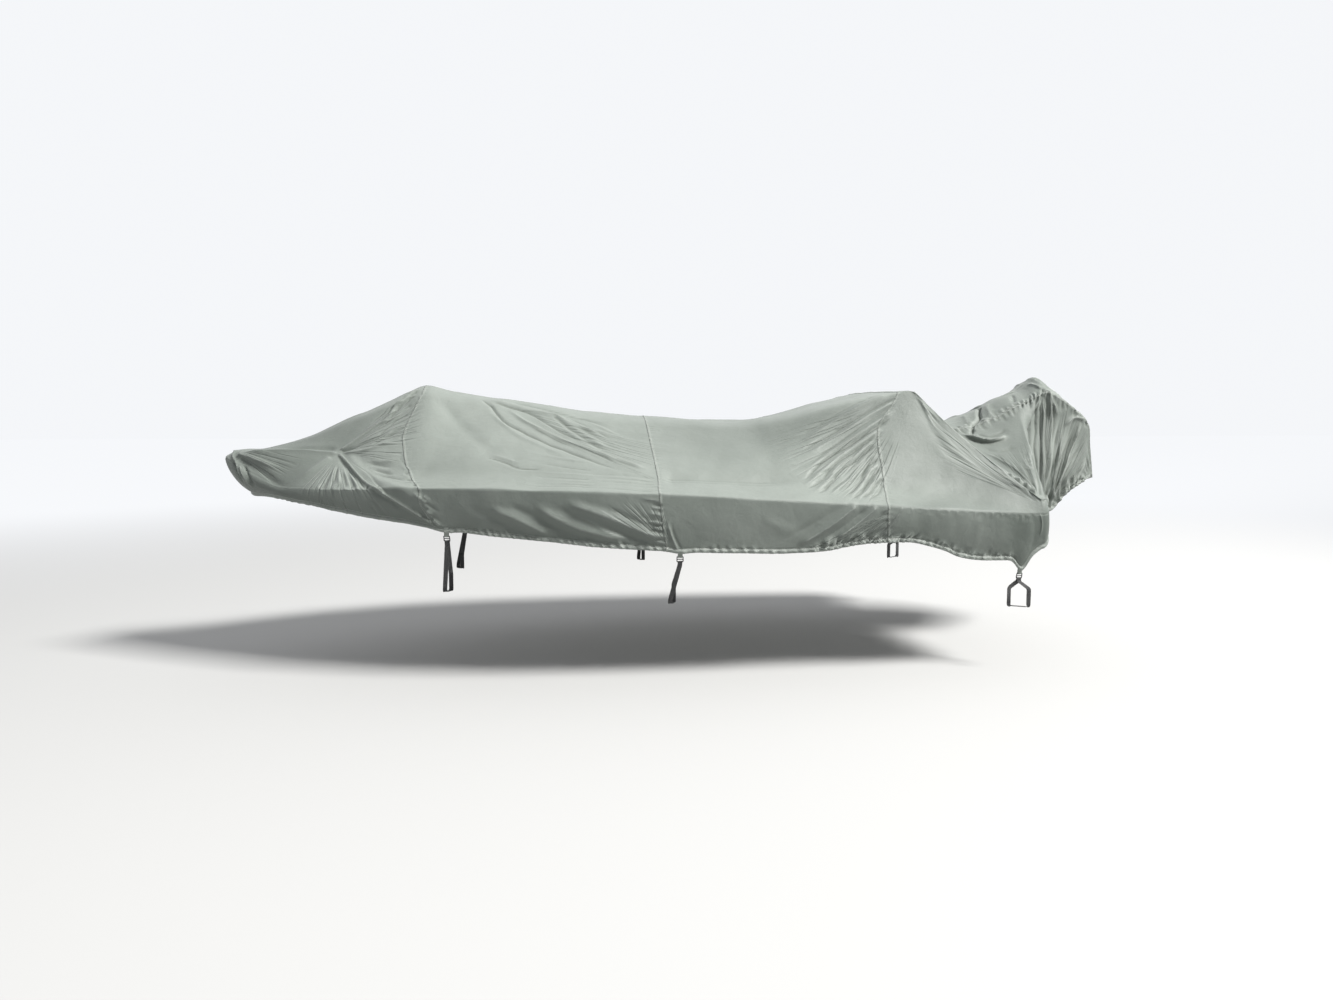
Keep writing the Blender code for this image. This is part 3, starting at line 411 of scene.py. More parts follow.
def stern_patches():
    """Every grid of the stern panel and the hood, both sides. Neighbours share their edge points."""
    rises = hood_rises()
    tent = ((2 - rises) / 2)[:0:-1]
    left = seam_x(SEAM_C, nominal_girth(tent))
    x = columns_between(left, np.full_like(left, CONSOLE_END), CONSOLE_CELLS, True)
    middle = hull_half(x, tent, left)
    made = [hem_to_hem("stern_panel", middle)]
    console = middle[0][-1]
    x = np.concatenate([np.linspace(CONSOLE_END, LAST_TIE, RIDGE_LINE_CELLS // 2 + 1),
                        np.linspace(LAST_TIE, HULL_END, RIDGE_LINE_CELLS // 2 + 1)[1:]])
    x = np.broadcast_to(x[:, None], (len(x), len(left) - TENT_CELLS))
    side = hull_half(x, [])
    side[0][0] = console[TENT_CELLS:]
    last = side[0][-1]
    shares = np.concatenate([np.linspace(0, CORNER_AT, CORNER_CELLS + 1)[1:],
                             np.linspace(CORNER_AT, 1, TRANSOM_CELLS + 1)[1:]])
    last_girth = girth_grid(x[-1:], [])[0]
    wrap = np.array([last] + [transom_column(last, last_girth, t) for t in shares])
    wrap_along, wrap_around = HULL_END + arc(wrap, 0), arc(wrap, 1)
    wrap_hem = np.minimum(wrap_around[:, -1:] - wrap_around, wrap_along[-1:] - wrap_along)
    free_at = 2 + np.arange(1, FREE_CELLS + 1) / FREE_CELLS
    low = np.concatenate([side[0][:, 0], wrap[1:, 0], hood_low(free_at)])
    at = np.concatenate([np.interp(x[:, 0], RIDGE_X, RIDGE_AT), 1 + shares, free_at])[:, None]
    hood = hood_rows(low[:, None], *np.broadcast_arrays(at, rises))
    hood[0] = console[TENT_CELLS::-1]
    run, around = arc(hood, 0), arc(hood, 1)
    middle_run = np.broadcast_to(run[:, TENT_CELLS // 2:TENT_CELLS // 2 + 1], around.shape)
    free = np.clip((at - 2) / FREE_EDGE, 0, 1) * FAR
    strip = np.abs(around - around[:, TENT_CELLS - STRIP_CELLS][:, None])
    low_seam = around + free
    hood_hem = np.minimum(around + (FAR - free), run[-1:] - run)
    hood_seam = np.minimum(np.minimum(strip, low_seam), run)
    for side_name, sign in SIDES:
        flip = np.array([1, sign, 1])
        names = ["hood_side_" + side_name] * (TENT_CELLS - STRIP_CELLS) + ["hood_top_strip"] * STRIP_CELLS
        side_seam, wrap_seam = np.minimum(side[2], FAR), np.minimum(wrap_around, FAR)
        made += [
            Patch(side[0] * flip, "hull", "stern_panel", sign, *side[1:], side_seam, side_seam),
            Patch(wrap * flip, "hull", "stern_panel", sign, wrap_along, wrap_around, wrap_hem,
                  np.full_like(wrap_hem, FAR), wrap_seam, wrap_seam),
            Patch(hood * flip, "hood", np.array(names), -sign, CONSOLE_END + middle_run, around, hood_hem,
                  np.full_like(hood_hem, FAR), hood_seam, low_seam)]
    return made


Cloth = namedtuple("Cloth", "points areas along around hem lap_edge seam calm "
                            "cells names coarse middles coarse_names")


def weld(patches):
    """One surface from all grids: points that coincide become one, and cells keep the name of their panel.
    coarse has the corners of every block of two by two cells, and middles the points halfway along its
    four edges."""
    flat = np.concatenate([p.points.reshape(-1, 3) for p in patches])
    measures = [np.concatenate([getattr(p, name).ravel() for p in patches])
                for name in ("along", "around", "hem", "lap_edge", "seam", "calm")]
    areas = np.concatenate([np.full(p.hem.size, p.area) for p in patches])
    keys = np.round(flat * WELD_STEPS).astype(np.int64)
    _, first, index = np.unique(keys, axis=0, return_index=True, return_inverse=True)
    index = index.ravel()
    cells, names, coarse, middles, coarse_names, start = [], [], [], [], [], 0
    for p in patches:
        rows, across = p.hem.shape
        n = index[start:start + rows * across].reshape(rows, across)
        start += rows * across
        quad = [n[:-1, :-1], n[:-1, 1:], n[1:, 1:], n[1:, :-1]]
        block = [n[:-2:2, :-2:2], n[:-2:2, 2::2], n[2::2, 2::2], n[2::2, :-2:2]]
        half = [n[:-2:2, 1::2], n[1::2, 2::2], n[2::2, 1::2], n[1::2, :-2:2]]
        if p.outward > 0:
            quad, block, half = quad[::-1], block[::-1], [half[2], half[1], half[0], half[3]]
        cells.append(np.stack(quad, -1).reshape(-1, 4))
        coarse.append(np.stack(block, -1).reshape(-1, 4))
        middles.append(np.stack(half, -1).reshape(-1, 4))
        panels = np.broadcast_to(p.panels, (rows - 1, across - 1))
        names.append(panels.ravel())
        coarse_names.append(panels[::2, ::2].ravel())
    return Cloth(flat[first], areas[first], *[m[first] for m in measures],
                 *[np.concatenate(part) for part in (cells, names, coarse, middles, coarse_names)])


def triangles_of(points, cells):
    """Each four-sided cell as two triangles across its shorter diagonal, without those that have no
    width."""
    a, b, c, d = (points[cells[:, k]] for k in range(4))
    short = np.linalg.norm(a - c, axis=1) <= np.linalg.norm(b - d, axis=1)
    one = np.where(short[:, None], cells[:, [0, 1, 2]], cells[:, [0, 1, 3]])
    two = np.where(short[:, None], cells[:, [0, 2, 3]], cells[:, [1, 2, 3]])
    both = np.stack([one, two], 1).reshape(-1, 3)
    kept = (both[:, 0] != both[:, 1]) & (both[:, 1] != both[:, 2]) & (both[:, 2] != both[:, 0])
    return both, kept


def normals_of(points, triangles):
    """Outward direction at each point: the sum of its triangles' normals, each weighted by area."""
    a, b, c = (points[triangles[:, k]] for k in range(3))
    face = np.cross(b - a, c - a)
    total = np.zeros_like(points)
    for k in range(3):
        for axis in range(3):
            total[:, axis] += np.bincount(triangles[:, k], face[:, axis], len(points))
    return total / np.maximum(np.linalg.norm(total, axis=1, keepdims=True), TINY**2)


# ------------------------------------------------------------------ folds

# A fold runs along its line of places, width to either side, and stands height proud (or lies that deep,
# below zero). It grows over the first share of its length, and dies away over the last one. sharp: 0 a
# soft swell, 1 a crease. droop: how far it slides downhill for each metre that it stands proud.
Fold = namedtuple("Fold", "sheet width height grow die sharp line droop")
# A fan of folds from one place towards others that lie between first and last.
Fan = namedtuple("Fan", "sheet focus first last count start stop width height sharp")
# Small folds all along a line, each reaching away from it by about the given step.
Gathers = namedtuple("Gathers", "sheet count reach width height sharp line")

# The folds' width, height, grow, die and sharp, and the places of their lines.
HULL_FOLDS = [
    # Bow: the taut ridge from the bow peg down to the first tie, with the hollows on both sides of it.
    (0.007, 0.015, 0.03, 0.1, 0.9, (0.655, 1.98), (0.78, 2.36), (0.95, 3.08), (1.11, 3.57), (1.26, 3.93)),
    (0.026, 0.009, 0.1, 0.2, 0.0, (0.7, 1.93), (0.88, 2.36), (1.06, 2.98), (1.23, 3.5), (1.29, 3.84)),
    (0.012, -0.006, 0.1, 0.3, 0.5, (0.65, 2.05), (0.79, 2.58), (0.92, 3.14), (1.15, 3.74)),
    (0.008, 0.006, 0.2, 0.4, 0.6, (1.13, 3.08), (1.16, 3.22), (1.22, 3.4)),
    (0.008, 0.007, 0.2, 0.2, 0.6, (1.18, 3.5), (1.23, 3.68), (1.29, 3.88)),
    # Bow: creases between the nose and the peg, and the raised line that they follow.
    (0.014, 0.009, 0.2, 0.05, 0.7, (0.06, 1.95), (0.2, 1.95), (0.4, 1.94), (0.55, 1.97), (0.66, 2.0)),
    (0.02, -0.009, 0.4, 0.1, 0.2, (0.3, 1.72), (0.45, 1.78), (0.64, 1.9)),
    (0.024, 0.009, 0.1, 0.4, 0.3, (0.62, 2.1), (0.54, 2.42), (0.45, 2.8)),
    (0.016, 0.015, 0.1, 0.4, 0.5, (0.06, 2.15), (0.12, 2.3), (0.24, 2.43), (0.35, 2.58)),
    (0.022, -0.013, 0.1, 0.4, 0.3, (0.08, 2.5), (0.17, 2.68), (0.3, 2.9), (0.42, 3.02)),
    (0.01, 0.011, 0.1, 0.2, 0.5, (0.03, 1.6), (0.05, 2.53), (0.09, 3.08), (0.13, 3.5)),
    (0.008, -0.011, 0.2, 0.2, 0.6, (0.05, 2.7), (0.08, 3.15), (0.1, 3.6)),
    (0.008, 0.01, 0.2, 0.2, 0.6, (0.09, 2.85), (0.12, 3.2), (0.16, 3.65)),
    (0.01, -0.01, 0.2, 0.3, 0.6, (0.11, 2.8), (0.15, 3.15), (0.19, 3.55)),
    (0.08, -0.0025, 0.3, 0.3, 0.0, (0.7, 0.0), (0.85, 0.0), (1.02, 0.0)),
    # Bow: from the peg up to the forward peak and to the first cross seam.
    (0.011, 0.013, 0.05, 0.2, 0.8, (0.66, 1.9), (0.75, 1.56), (0.85, 1.3), (0.96, 1.25), (1.03, 1.17)),
    (0.011, 0.01, 0.2, 0.2, 0.7, (0.92, 1.22), (1.0, 0.95), (1.07, 0.6), (1.12, 0.25)),
    (0.012, -0.011, 0.05, 0.2, 0.7, (0.66, 1.93), (0.74, 1.75), (0.81, 1.59), (0.92, 1.49), (1.03, 1.45)),
    (0.012, 0.009, 0.1, 0.3, 0.7, (0.68, 1.95), (0.87, 1.66), (1.03, 1.6)),
    (0.011, -0.01, 0.3, 0.2, 0.6, (0.8, 1.25), (0.93, 1.02), (1.01, 0.6), (1.1, 0.2)),
    (0.011, 0.011, 0.3, 0.2, 0.5, (0.9, 1.12), (1.0, 0.95), (1.08, 0.6)),
    # Forward panel: long folds that fan out aft from beside the peak.
    (0.02, 0.012, 0.1, 0.4, 0.3, (1.5, 0.6), (1.71, 0.88), (1.92, 1.1), (2.09, 1.25), (2.37, 1.4)),
    (0.017, -0.007, 0.1, 0.4, 0.3, (1.62, 0.4), (1.93, 0.9), (2.1, 1.12), (2.27, 1.28)),
    (0.014, -0.01, 0.1, 0.3, 0.6, (1.52, 0.75), (1.75, 1.08), (1.97, 1.36), (2.2, 1.56), (2.36, 1.68)),
    (0.015, 0.013, 0.2, 0.1, 0.5, (1.58, 1.0), (1.7, 1.2), (1.87, 1.38), (2.11, 1.6), (2.4, 1.86)),
    (0.011, -0.012, 0.1, 0.3, 0.7, (1.44, 0.53), (1.56, 1.18), (1.71, 1.38), (1.87, 1.53), (2.05, 1.7),
     (2.3, 1.94)),
    (0.017, 0.006, 0.2, 0.4, 0.3, (1.48, 1.1), (1.66, 1.4), (1.86, 1.6), (2.04, 1.8)),
    (0.008, -0.008, 0.3, 0.2, 0.8, (1.49, 1.74), (1.61, 1.81), (1.69, 1.88), (1.82, 1.89)),
    (0.009, 0.005, 0.3, 0.4, 0.5, (1.52, 1.7), (1.63, 1.77), (1.72, 1.83)),
    (0.043, -0.007, 0.2, 0.4, 0.0, (1.15, 0.95), (1.4, 1.45), (1.62, 1.85)),
    # Forward panel: slack folds of the skirt that run down towards the second tie.
    (0.02, 0.016, 0.25, 0.15, 0.2, (1.53, 3.38), (1.66, 3.55), (1.85, 3.84)),
    (0.021, 0.016, 0.2, 0.2, 0.2, (1.76, 3.28), (1.92, 3.56), (2.04, 3.7), (2.27, 3.84)),
    (0.021, 0.016, 0.2, 0.15, 0.2, (1.92, 3.2), (2.1, 3.37), (2.26, 3.57), (2.46, 3.82)),
    (0.012, 0.007, 0.3, 0.3, 0.4, (2.02, 3.46), (2.14, 3.68), (2.28, 3.82)),
    (0.02, -0.007, 0.2, 0.2, 0.2, (1.62, 3.3), (1.8, 3.56), (1.95, 3.8)),
    (0.017, -0.007, 0.2, 0.2, 0.3, (1.86, 3.28), (2.02, 3.52), (2.24, 3.74), (2.38, 3.84)),
    (0.014, -0.005, 0.3, 0.2, 0.3, (2.1, 3.22), (2.25, 3.42), (2.44, 3.7)),
    (0.02, -0.005, 0.2, 0.2, 0.2, (1.42, 3.4), (1.56, 3.62), (1.68, 3.84)),
    # Second cross seam: the doubled fold that runs down to the tie behind it.
    (0.007, 0.008, 0.4, 0.05, 0.6, (2.462, 3.4), (2.482, 3.65), (2.52, 3.94)),
    (0.007, -0.006, 0.4, 0.1, 0.6, (2.478, 3.45), (2.5, 3.7), (2.54, 3.92)),
    # Centre panel: the crease along the side deck, and folds that climb to the console.
    (0.1, -0.022, 0.08, 0.3, 1.0, (2.45, 1.97), (2.8, 1.97), (3.1, 1.97), (3.34, 1.99)),
    (0.01, 0.003, 0.02, 0.3, 0.6, (2.44, 1.99), (2.8, 1.99), (3.1, 1.99), (3.24, 2.0)),
    (0.016, -0.007, 0.1, 0.3, 0.3, (3.8, 0.93), (3.55, 1.12), (3.38, 1.25), (3.26, 1.36)),
    (0.018, 0.01, 0.1, 0.3, 0.4, (3.88, 0.97), (3.65, 1.12), (3.45, 1.28), (3.28, 1.44)),
    (0.01, -0.013, 0.1, 0.2, 0.8, (3.91, 1.05), (3.74, 1.15), (3.55, 1.3), (3.39, 1.43), (3.28, 1.55)),
    (0.012, 0.009, 0.1, 0.2, 0.5, (3.9, 1.08), (3.75, 1.19), (3.59, 1.33), (3.44, 1.46), (3.31, 1.6)),
    (0.009, -0.009, 0.1, 0.3, 0.8, (3.91, 1.1), (3.76, 1.23), (3.63, 1.35), (3.5, 1.48), (3.34, 1.65)),
    (0.012, 0.011, 0.1, 0.2, 0.5, (3.88, 1.18), (3.74, 1.31), (3.61, 1.43), (3.45, 1.58), (3.28, 1.82)),
    (0.01, -0.015, 0.1, 0.2, 0.8, (3.85, 1.25), (3.72, 1.38), (3.59, 1.5), (3.4, 1.68), (3.24, 1.98)),
    (0.013, 0.013, 0.1, 0.2, 0.6, (3.79, 1.35), (3.66, 1.48), (3.52, 1.62), (3.34, 1.88), (3.23, 2.12)),
    (0.009, -0.014, 0.1, 0.2, 0.8, (3.74, 1.43), (3.6, 1.58), (3.43, 1.78), (3.24, 2.27)),
    (0.01, 0.011, 0.1, 0.2, 0.6, (3.73, 1.48), (3.6, 1.63), (3.44, 1.84), (3.27, 2.42)),
    (0.009, -0.013, 0.1, 0.2, 0.8, (3.73, 1.53), (3.6, 1.68), (3.44, 1.9), (3.29, 2.55)),
    (0.01, 0.01, 0.1, 0.2, 0.6, (3.72, 1.61), (3.6, 1.77), (3.45, 2.15), (3.36, 2.6)),
    (0.008, -0.011, 0.1, 0.2, 0.8, (3.72, 1.68), (3.61, 1.85), (3.46, 2.5)),
    (0.009, 0.009, 0.1, 0.2, 0.6, (3.72, 1.73), (3.62, 1.91), (3.47, 2.62)),
    (0.008, -0.011, 0.1, 0.2, 0.8, (3.72, 1.78), (3.63, 1.98), (3.48, 2.73)),
    (0.008, 0.008, 0.1, 0.2, 0.6, (3.72, 1.83), (3.65, 2.03), (3.51, 2.7)),
    (0.008, -0.01, 0.1, 0.2, 0.8, (3.72, 1.88), (3.66, 2.08), (3.54, 2.65)),
    (0.008, -0.009, 0.1, 0.2, 0.8, (3.71, 2.0), (3.67, 2.25), (3.59, 2.68)),
    # Centre panel: the skirt's folds.
    (0.019, 0.017, 0.1, 0.2, 0.4, (3.5, 3.0), (3.36, 3.42), (3.16, 3.86)),
    (0.018, -0.01, 0.2, 0.2, 0.4, (3.56, 3.05), (3.44, 3.45), (3.28, 3.84)),
    (0.014, 0.012, 0.1, 0.2, 0.5, (3.61, 3.02), (3.51, 3.4), (3.38, 3.78)),
    (0.013, -0.008, 0.2, 0.2, 0.5, (3.66, 3.08), (3.6, 3.4), (3.5, 3.75)),
    (0.021, -0.006, 0.2, 0.3, 0.3, (3.42, 3.02), (3.24, 3.45), (3.04, 3.8)),
    (0.032, 0.004, 0.3, 0.3, 0.0, (2.95, 3.3), (3.1, 3.55), (3.2, 3.7)),
    # Stern panel: soft creases beside the tent ridge, and the corner's own.
    (0.026, -0.004, 0.2, 0.5, 0.1, (4.03, 1.1), (4.11, 1.38), (4.19, 1.53), (4.27, 1.66)),
    (0.022, -0.006, 0.1, 0.2, 0.2, (4.08, 1.06), (4.17, 1.24), (4.31, 1.37), (4.46, 1.55), (4.56, 1.85)),
    (0.024, 0.005, 0.2, 0.3, 0.1, (4.1, 1.14), (4.22, 1.36), (4.36, 1.52), (4.5, 1.8)),
    (0.011, -0.004, 0.2, 0.1, 0.5, (4.22, 1.1), (4.36, 1.2), (4.5, 1.36), (4.59, 1.7)),
    (0.0065, 0.006, 0.1, 0.3, 0.8, (4.575, 2.92), (4.585, 3.3), (4.575, 3.6)),
    (0.02, -0.003, 0.2, 0.3, 0.1, (4.535, 3.0), (4.545, 3.4), (4.53, 3.9)),
]
POUCH = (0.016, 0.036, 0.3, 0.2, 0.3, (0.72, 0.92), (0.77, 0.82), (0.84, 0.75), (0.94, 0.735),
         (1.05, 0.77))
POUCH_DROOP = 0.8
HOOD_FOLDS = [
    # Hood: the dark valley behind the tent ridge and the folds that run into it.
    (0.013, -0.03, 0.3, 0.05, 0.5, (0.2, 0.05), (0.5, 0.055), (0.75, 0.05), (0.97, 0.03)),
    (0.013, 0.012, 0.3, 0.05, 0.5, (0.3, 0.12), (0.6, 0.12), (0.8, 0.11), (0.98, 0.07)),
    (0.011, 0.016, 0.3, 0.05, 0.5, (0.74, 0.58), (0.81, 0.42), (0.9, 0.24), (0.99, 0.06)),
    (0.01, -0.017, 0.3, 0.05, 0.6, (0.8, 0.56), (0.88, 0.37), (0.95, 0.2), (1.02, 0.05)),
    # Hood: pinched fold across the strip, and the pouch of slack cloth below its seam.
    (0.01, -0.028, 0.02, 0.2, 0.7, (0.99, 1.93), (0.95, 1.55), (0.92, 1.2), (0.83, 0.94), (0.77, 0.84)),
    (0.02, 0.01, 0.1, 0.3, 0.3, (1.1, 1.85), (1.02, 1.5), (0.98, 1.1), (0.9, 0.92)),
    (0.018, 0.007, 0.1, 0.3, 0.3, (0.88, 1.85), (0.86, 1.5), (0.83, 1.15), (0.74, 0.95)),
    POUCH,
    (0.011, -0.006, 0.1, 0.2, 0.4, (0.83, 0.86), (0.89, 0.8), (0.98, 0.8), (1.1, 0.83)),
    (0.018, -0.005, 0.3, 0.2, 0.1, (0.76, 0.66), (0.84, 0.58), (0.94, 0.58), (1.06, 0.62)),
    # Hood: deep folds that drop from the peak and gather at the transom corner.
    (0.018, 0.009, 0.2, 0.2, 0.1, (1.93, 0.93), (2.02, 0.75), (2.09, 0.6), (2.13, 0.45)),
    (0.009, -0.012, 0.15, 0.1, 0.7, (2.0, 0.95), (2.08, 0.78), (2.14, 0.66), (2.17, 0.52), (2.25, 0.37),
     (2.3, 0.2)),
    (0.008, -0.012, 0.1, 0.1, 0.7, (2.1, 0.92), (2.2, 0.68), (2.26, 0.53), (2.29, 0.38), (2.34, 0.2)),
    (0.009, 0.012, 0.1, 0.2, 0.5, (2.18, 0.88), (2.24, 0.63), (2.3, 0.45), (2.34, 0.28)),
    (0.008, -0.008, 0.1, 0.1, 0.7, (2.15, 0.99), (2.23, 0.86), (2.29, 0.63), (2.35, 0.47), (2.38, 0.22)),
    (0.013, 0.01, 0.1, 0.1, 0.4, (2.23, 0.98), (2.32, 0.8), (2.38, 0.55), (2.42, 0.3), (2.43, 0.1)),
    (0.01, -0.01, 0.1, 0.3, 0.5, (2.18, 1.04), (2.3, 0.91), (2.36, 0.78), (2.39, 0.55)),
    (0.026, 0.009, 0.3, 0.1, 0.1, (1.6, 0.86), (1.5, 0.55), (1.3, 0.28), (1.08, 0.08)),
    (0.011, -0.014, 0.3, 0.05, 0.5, (1.62, 0.62), (1.4, 0.36), (1.22, 0.18), (1.05, 0.04)),
    (0.072, -0.012, 0.4, 0.0, 0.0, (1.64, 0.9), (1.64, 1.4), (1.62, 2.0)),
    (0.012, 0.01, 0.4, 0.05, 0.4, (1.2, 0.42), (1.12, 0.26), (1.02, 0.05)),
    # Hood: folds that fan from the transom corner to the rear face.
    (0.01, 0.02, 0.05, 0.2, 0.6, (2.48, 0.1), (2.54, 0.25), (2.65, 0.57), (2.73, 0.95)),
    (0.014, -0.015, 0.05, 0.3, 0.4, (2.45, 0.1), (2.5, 0.28), (2.6, 0.57), (2.68, 0.93)),
    (0.014, -0.013, 0.05, 0.3, 0.4, (2.52, 0.06), (2.6, 0.2), (2.72, 0.48), (2.82, 0.9)),
    (0.01, 0.014, 0.05, 0.3, 0.6, (2.47, 0.12), (2.48, 0.28), (2.5, 0.53), (2.51, 0.78)),
    (0.013, -0.014, 0.05, 0.4, 0.4, (2.42, 0.12), (2.43, 0.4), (2.44, 0.68), (2.45, 0.92)),
    (0.01, 0.016, 0.05, 0.2, 0.5, (2.56, 0.03), (2.66, 0.05), (2.79, 0.16), (2.92, 0.7)),
    (0.012, 0.013, 0.3, 0.1, 0.4, (2.51, 0.78), (2.62, 0.9), (2.74, 0.98)),
    (0.012, -0.01, 0.3, 0.2, 0.5, (1.5, 1.78), (1.46, 1.5), (1.4, 1.15)),
    (0.01, 0.013, 0.1, 0.4, 0.5, (2.12, 1.05), (2.28, 0.95), (2.42, 0.84)),
    # Hood: the strip over the peak and down the rear face.
    (0.012, 0.009, 0.3, 0.2, 0.4, (1.92, 1.8), (2.0, 1.5), (2.08, 1.12)),
    (0.011, -0.011, 0.3, 0.2, 0.5, (2.07, 1.8), (2.14, 1.55), (2.22, 1.1)),
    (0.016, 0.012, 0.2, 0.2, 0.4, (2.2, 1.15), (2.45, 1.35), (2.75, 1.4), (2.95, 1.3)),
    (0.014, -0.012, 0.2, 0.2, 0.4, (2.18, 1.25), (2.4, 1.6), (2.7, 1.72), (2.96, 1.6)),
    (0.015, 0.01, 0.3, 0.2, 0.4, (2.3, 1.95), (2.55, 1.85), (2.8, 1.88), (2.97, 1.8)),
]
FOLDS = [Fold(sheet, *row[:5], row[5:], POUCH_DROOP if row is POUCH else 0)
         for sheet, rows in (("hull", HULL_FOLDS), ("hood", HOOD_FOLDS)) for row in rows]

FANS = [
    Fan("hull", (0.66, 1.92), (1.12, 0.40), (1.04, 1.55), 9, 0.35, 0.95, 0.011, 0.0055, 0.7),
    Fan("hull", (0.66, 2.02), (0.62, 3.05), (0.88, 3.05), 7, 0.30, 0.95, 0.013, 0.0090, 0.5),
    Fan("hull", (0.70, 1.95), (1.06, 1.75), (1.12, 2.60), 6, 0.40, 0.95, 0.014, 0.0060, 0.4),
    Fan("hull", (1.36, 0.20), (2.42, 1.30), (2.40, 2.10), 9, 0.25, 0.90, 0.016, 0.0075, 0.5),
    Fan("hull", (3.98, 0.95), (3.25, 1.30), (3.46, 2.60), 8, 0.40, 0.85, 0.010, 0.0015, 0.6),
    Fan("hull", (4.02, 1.00), (4.20, 1.10), (4.14, 1.50), 7, 0.08, 0.70, 0.010, 0.0075, 0.6),
    Fan("hull", (4.59, 1.05), (4.30, 1.10), (4.34, 1.70), 6, 0.10, 0.70, 0.014, 0.0075, 0.5),
    Fan("hood", (1.00, 0.00), (0.70, 0.60), (1.70, 0.80), 8, 0.08, 0.55, 0.014, 0.0065, 0.5),
    Fan("hood", (2.35, 0.00), (2.46, 0.90), (2.90, 0.60), 9, 0.15, 0.85, 0.013, 0.0105, 0.5),
    Fan("hood", (2.12, 2.30), (2.50, 1.05), (2.95, 1.90), 7, 0.25, 0.85, 0.013, 0.0080, 0.5),
    Fan("hood", (2.14, 1.30), (1.70, 0.60), (2.50, 0.60), 10, 0.25, 0.80, 0.014, 0.0120, 0.5),
]

GATHERS = [Gathers(*row[:6], row[6:]) for row in (
    # Beside the cross seams.
    ("hull", 14, (-0.1, 0.05), 0.008, 0.0048, 0.7, (1.1, 0.6), (1.05, 1.2), (1.03, 1.5)),
    ("hull", 9, (-0.05, -0.12), 0.008, 0.0048, 0.7, (1.06, 1.75), (1.1, 2.3), (1.16, 2.95)),
    ("hull", 6, (0.06, 0.16), 0.009, 0.008, 0.6, (1.18, 3.1), (1.21, 3.6), (1.26, 3.9)),
    ("hull", 13, (-0.13, -0.05), 0.008, 0.0066, 0.6, (2.44, 3.12), (2.44, 3.5), (2.46, 3.9)),
    ("hull", 10, (-0.4, -0.08), 0.009, 0.003, 0.4, (2.44, 1.9), (2.44, 2.3), (2.43, 2.9)),
    ("hull", 10, (-0.35, -0.1), 0.011, 0.0048, 0.3, (2.1, 1.75), (2.1, 2.3), (2.1, 2.75)),
    ("hull", 22, (-0.12, 0.24), 0.007, 0.003, 0.7, (3.71, 1.4), (3.69, 1.85), (3.665, 2.75)),
    ("hull", 9, (-0.1, 0.18), 0.009, 0.0048, 0.6, (3.68, 3.05), (3.67, 3.5), (3.68, 3.9)),
    # Down from the gunwale and the side deck.
    ("hull", 10, (0.02, -0.25), 0.009, 0.0064, 0.5, (0.55, 3.02), (0.75, 3.02), (0.95, 3.02)),
    ("hull", 30, (-0.01, 0.14), 0.009, 0.0026, 0.3, (3.75, 3.02), (4.2, 3.02), (4.55, 3.02)),
    ("hull", 11, (-0.02, 0.7), 0.026, 0.0032, 0.0, (3.76, 3.1), (4.1, 3.1), (4.52, 3.1)),
    # Above the hem, drawn in by its rope.
    ("hull", 26, (-0.03, -0.14), 0.012, 0.0026, 0.2, (0.3, 3.99), (0.6, 3.99), (1.22, 3.99)),
    ("hull", 58, (-0.035, -0.13), 0.009, 0.0085, 0.4, (1.3, 3.99), (1.8, 3.99), (2.45, 3.99)),
    ("hull", 26, (-0.03, -0.12), 0.011, 0.0056, 0.3, (2.56, 3.99), (2.9, 3.99), (3.25, 3.99)),
    ("hull", 46, (0.05, -0.26), 0.01, 0.0144, 0.5, (3.25, 3.99), (3.5, 3.99), (3.8, 3.99)),
    ("hull", 34, (0.02, -0.22), 0.011, 0.0096, 0.4, (3.8, 3.99), (4.1, 3.99), (4.42, 3.99)),
    ("hood", 34, (0.012, 0.22), 0.012, 0.019, 0.6, (2.05, 0.01), (2.5, 0.01), (2.94, 0.01)),
    ("hood", 18, (-0.13, 0.0), 0.011, 0.006, 0.4, (2.97, 0.1), (2.97, 1.0), (2.97, 1.95)),
    # On both sides of the strip seam, whose thread draws it up.
    ("hood", 34, (0.01, -0.1), 0.01, 0.009, 0.5, (0.55, 1.0), (1.2, 1.0), (2.1, 1.0)),
    ("hood", 34, (-0.01, 0.22), 0.009, 0.0062, 0.6, (0.55, 1.0), (1.2, 1.0), (2.1, 1.0)),
    ("hood", 14, (0.01, -0.1), 0.01, 0.008, 0.5, (2.1, 1.0), (2.5, 1.0), (2.8, 1.0)),
    ("hood", 16, (0.04, 0.14), 0.01, 0.0096, 0.5, (0.2, 0.02), (0.55, 0.02), (0.95, 0.02)),
)]

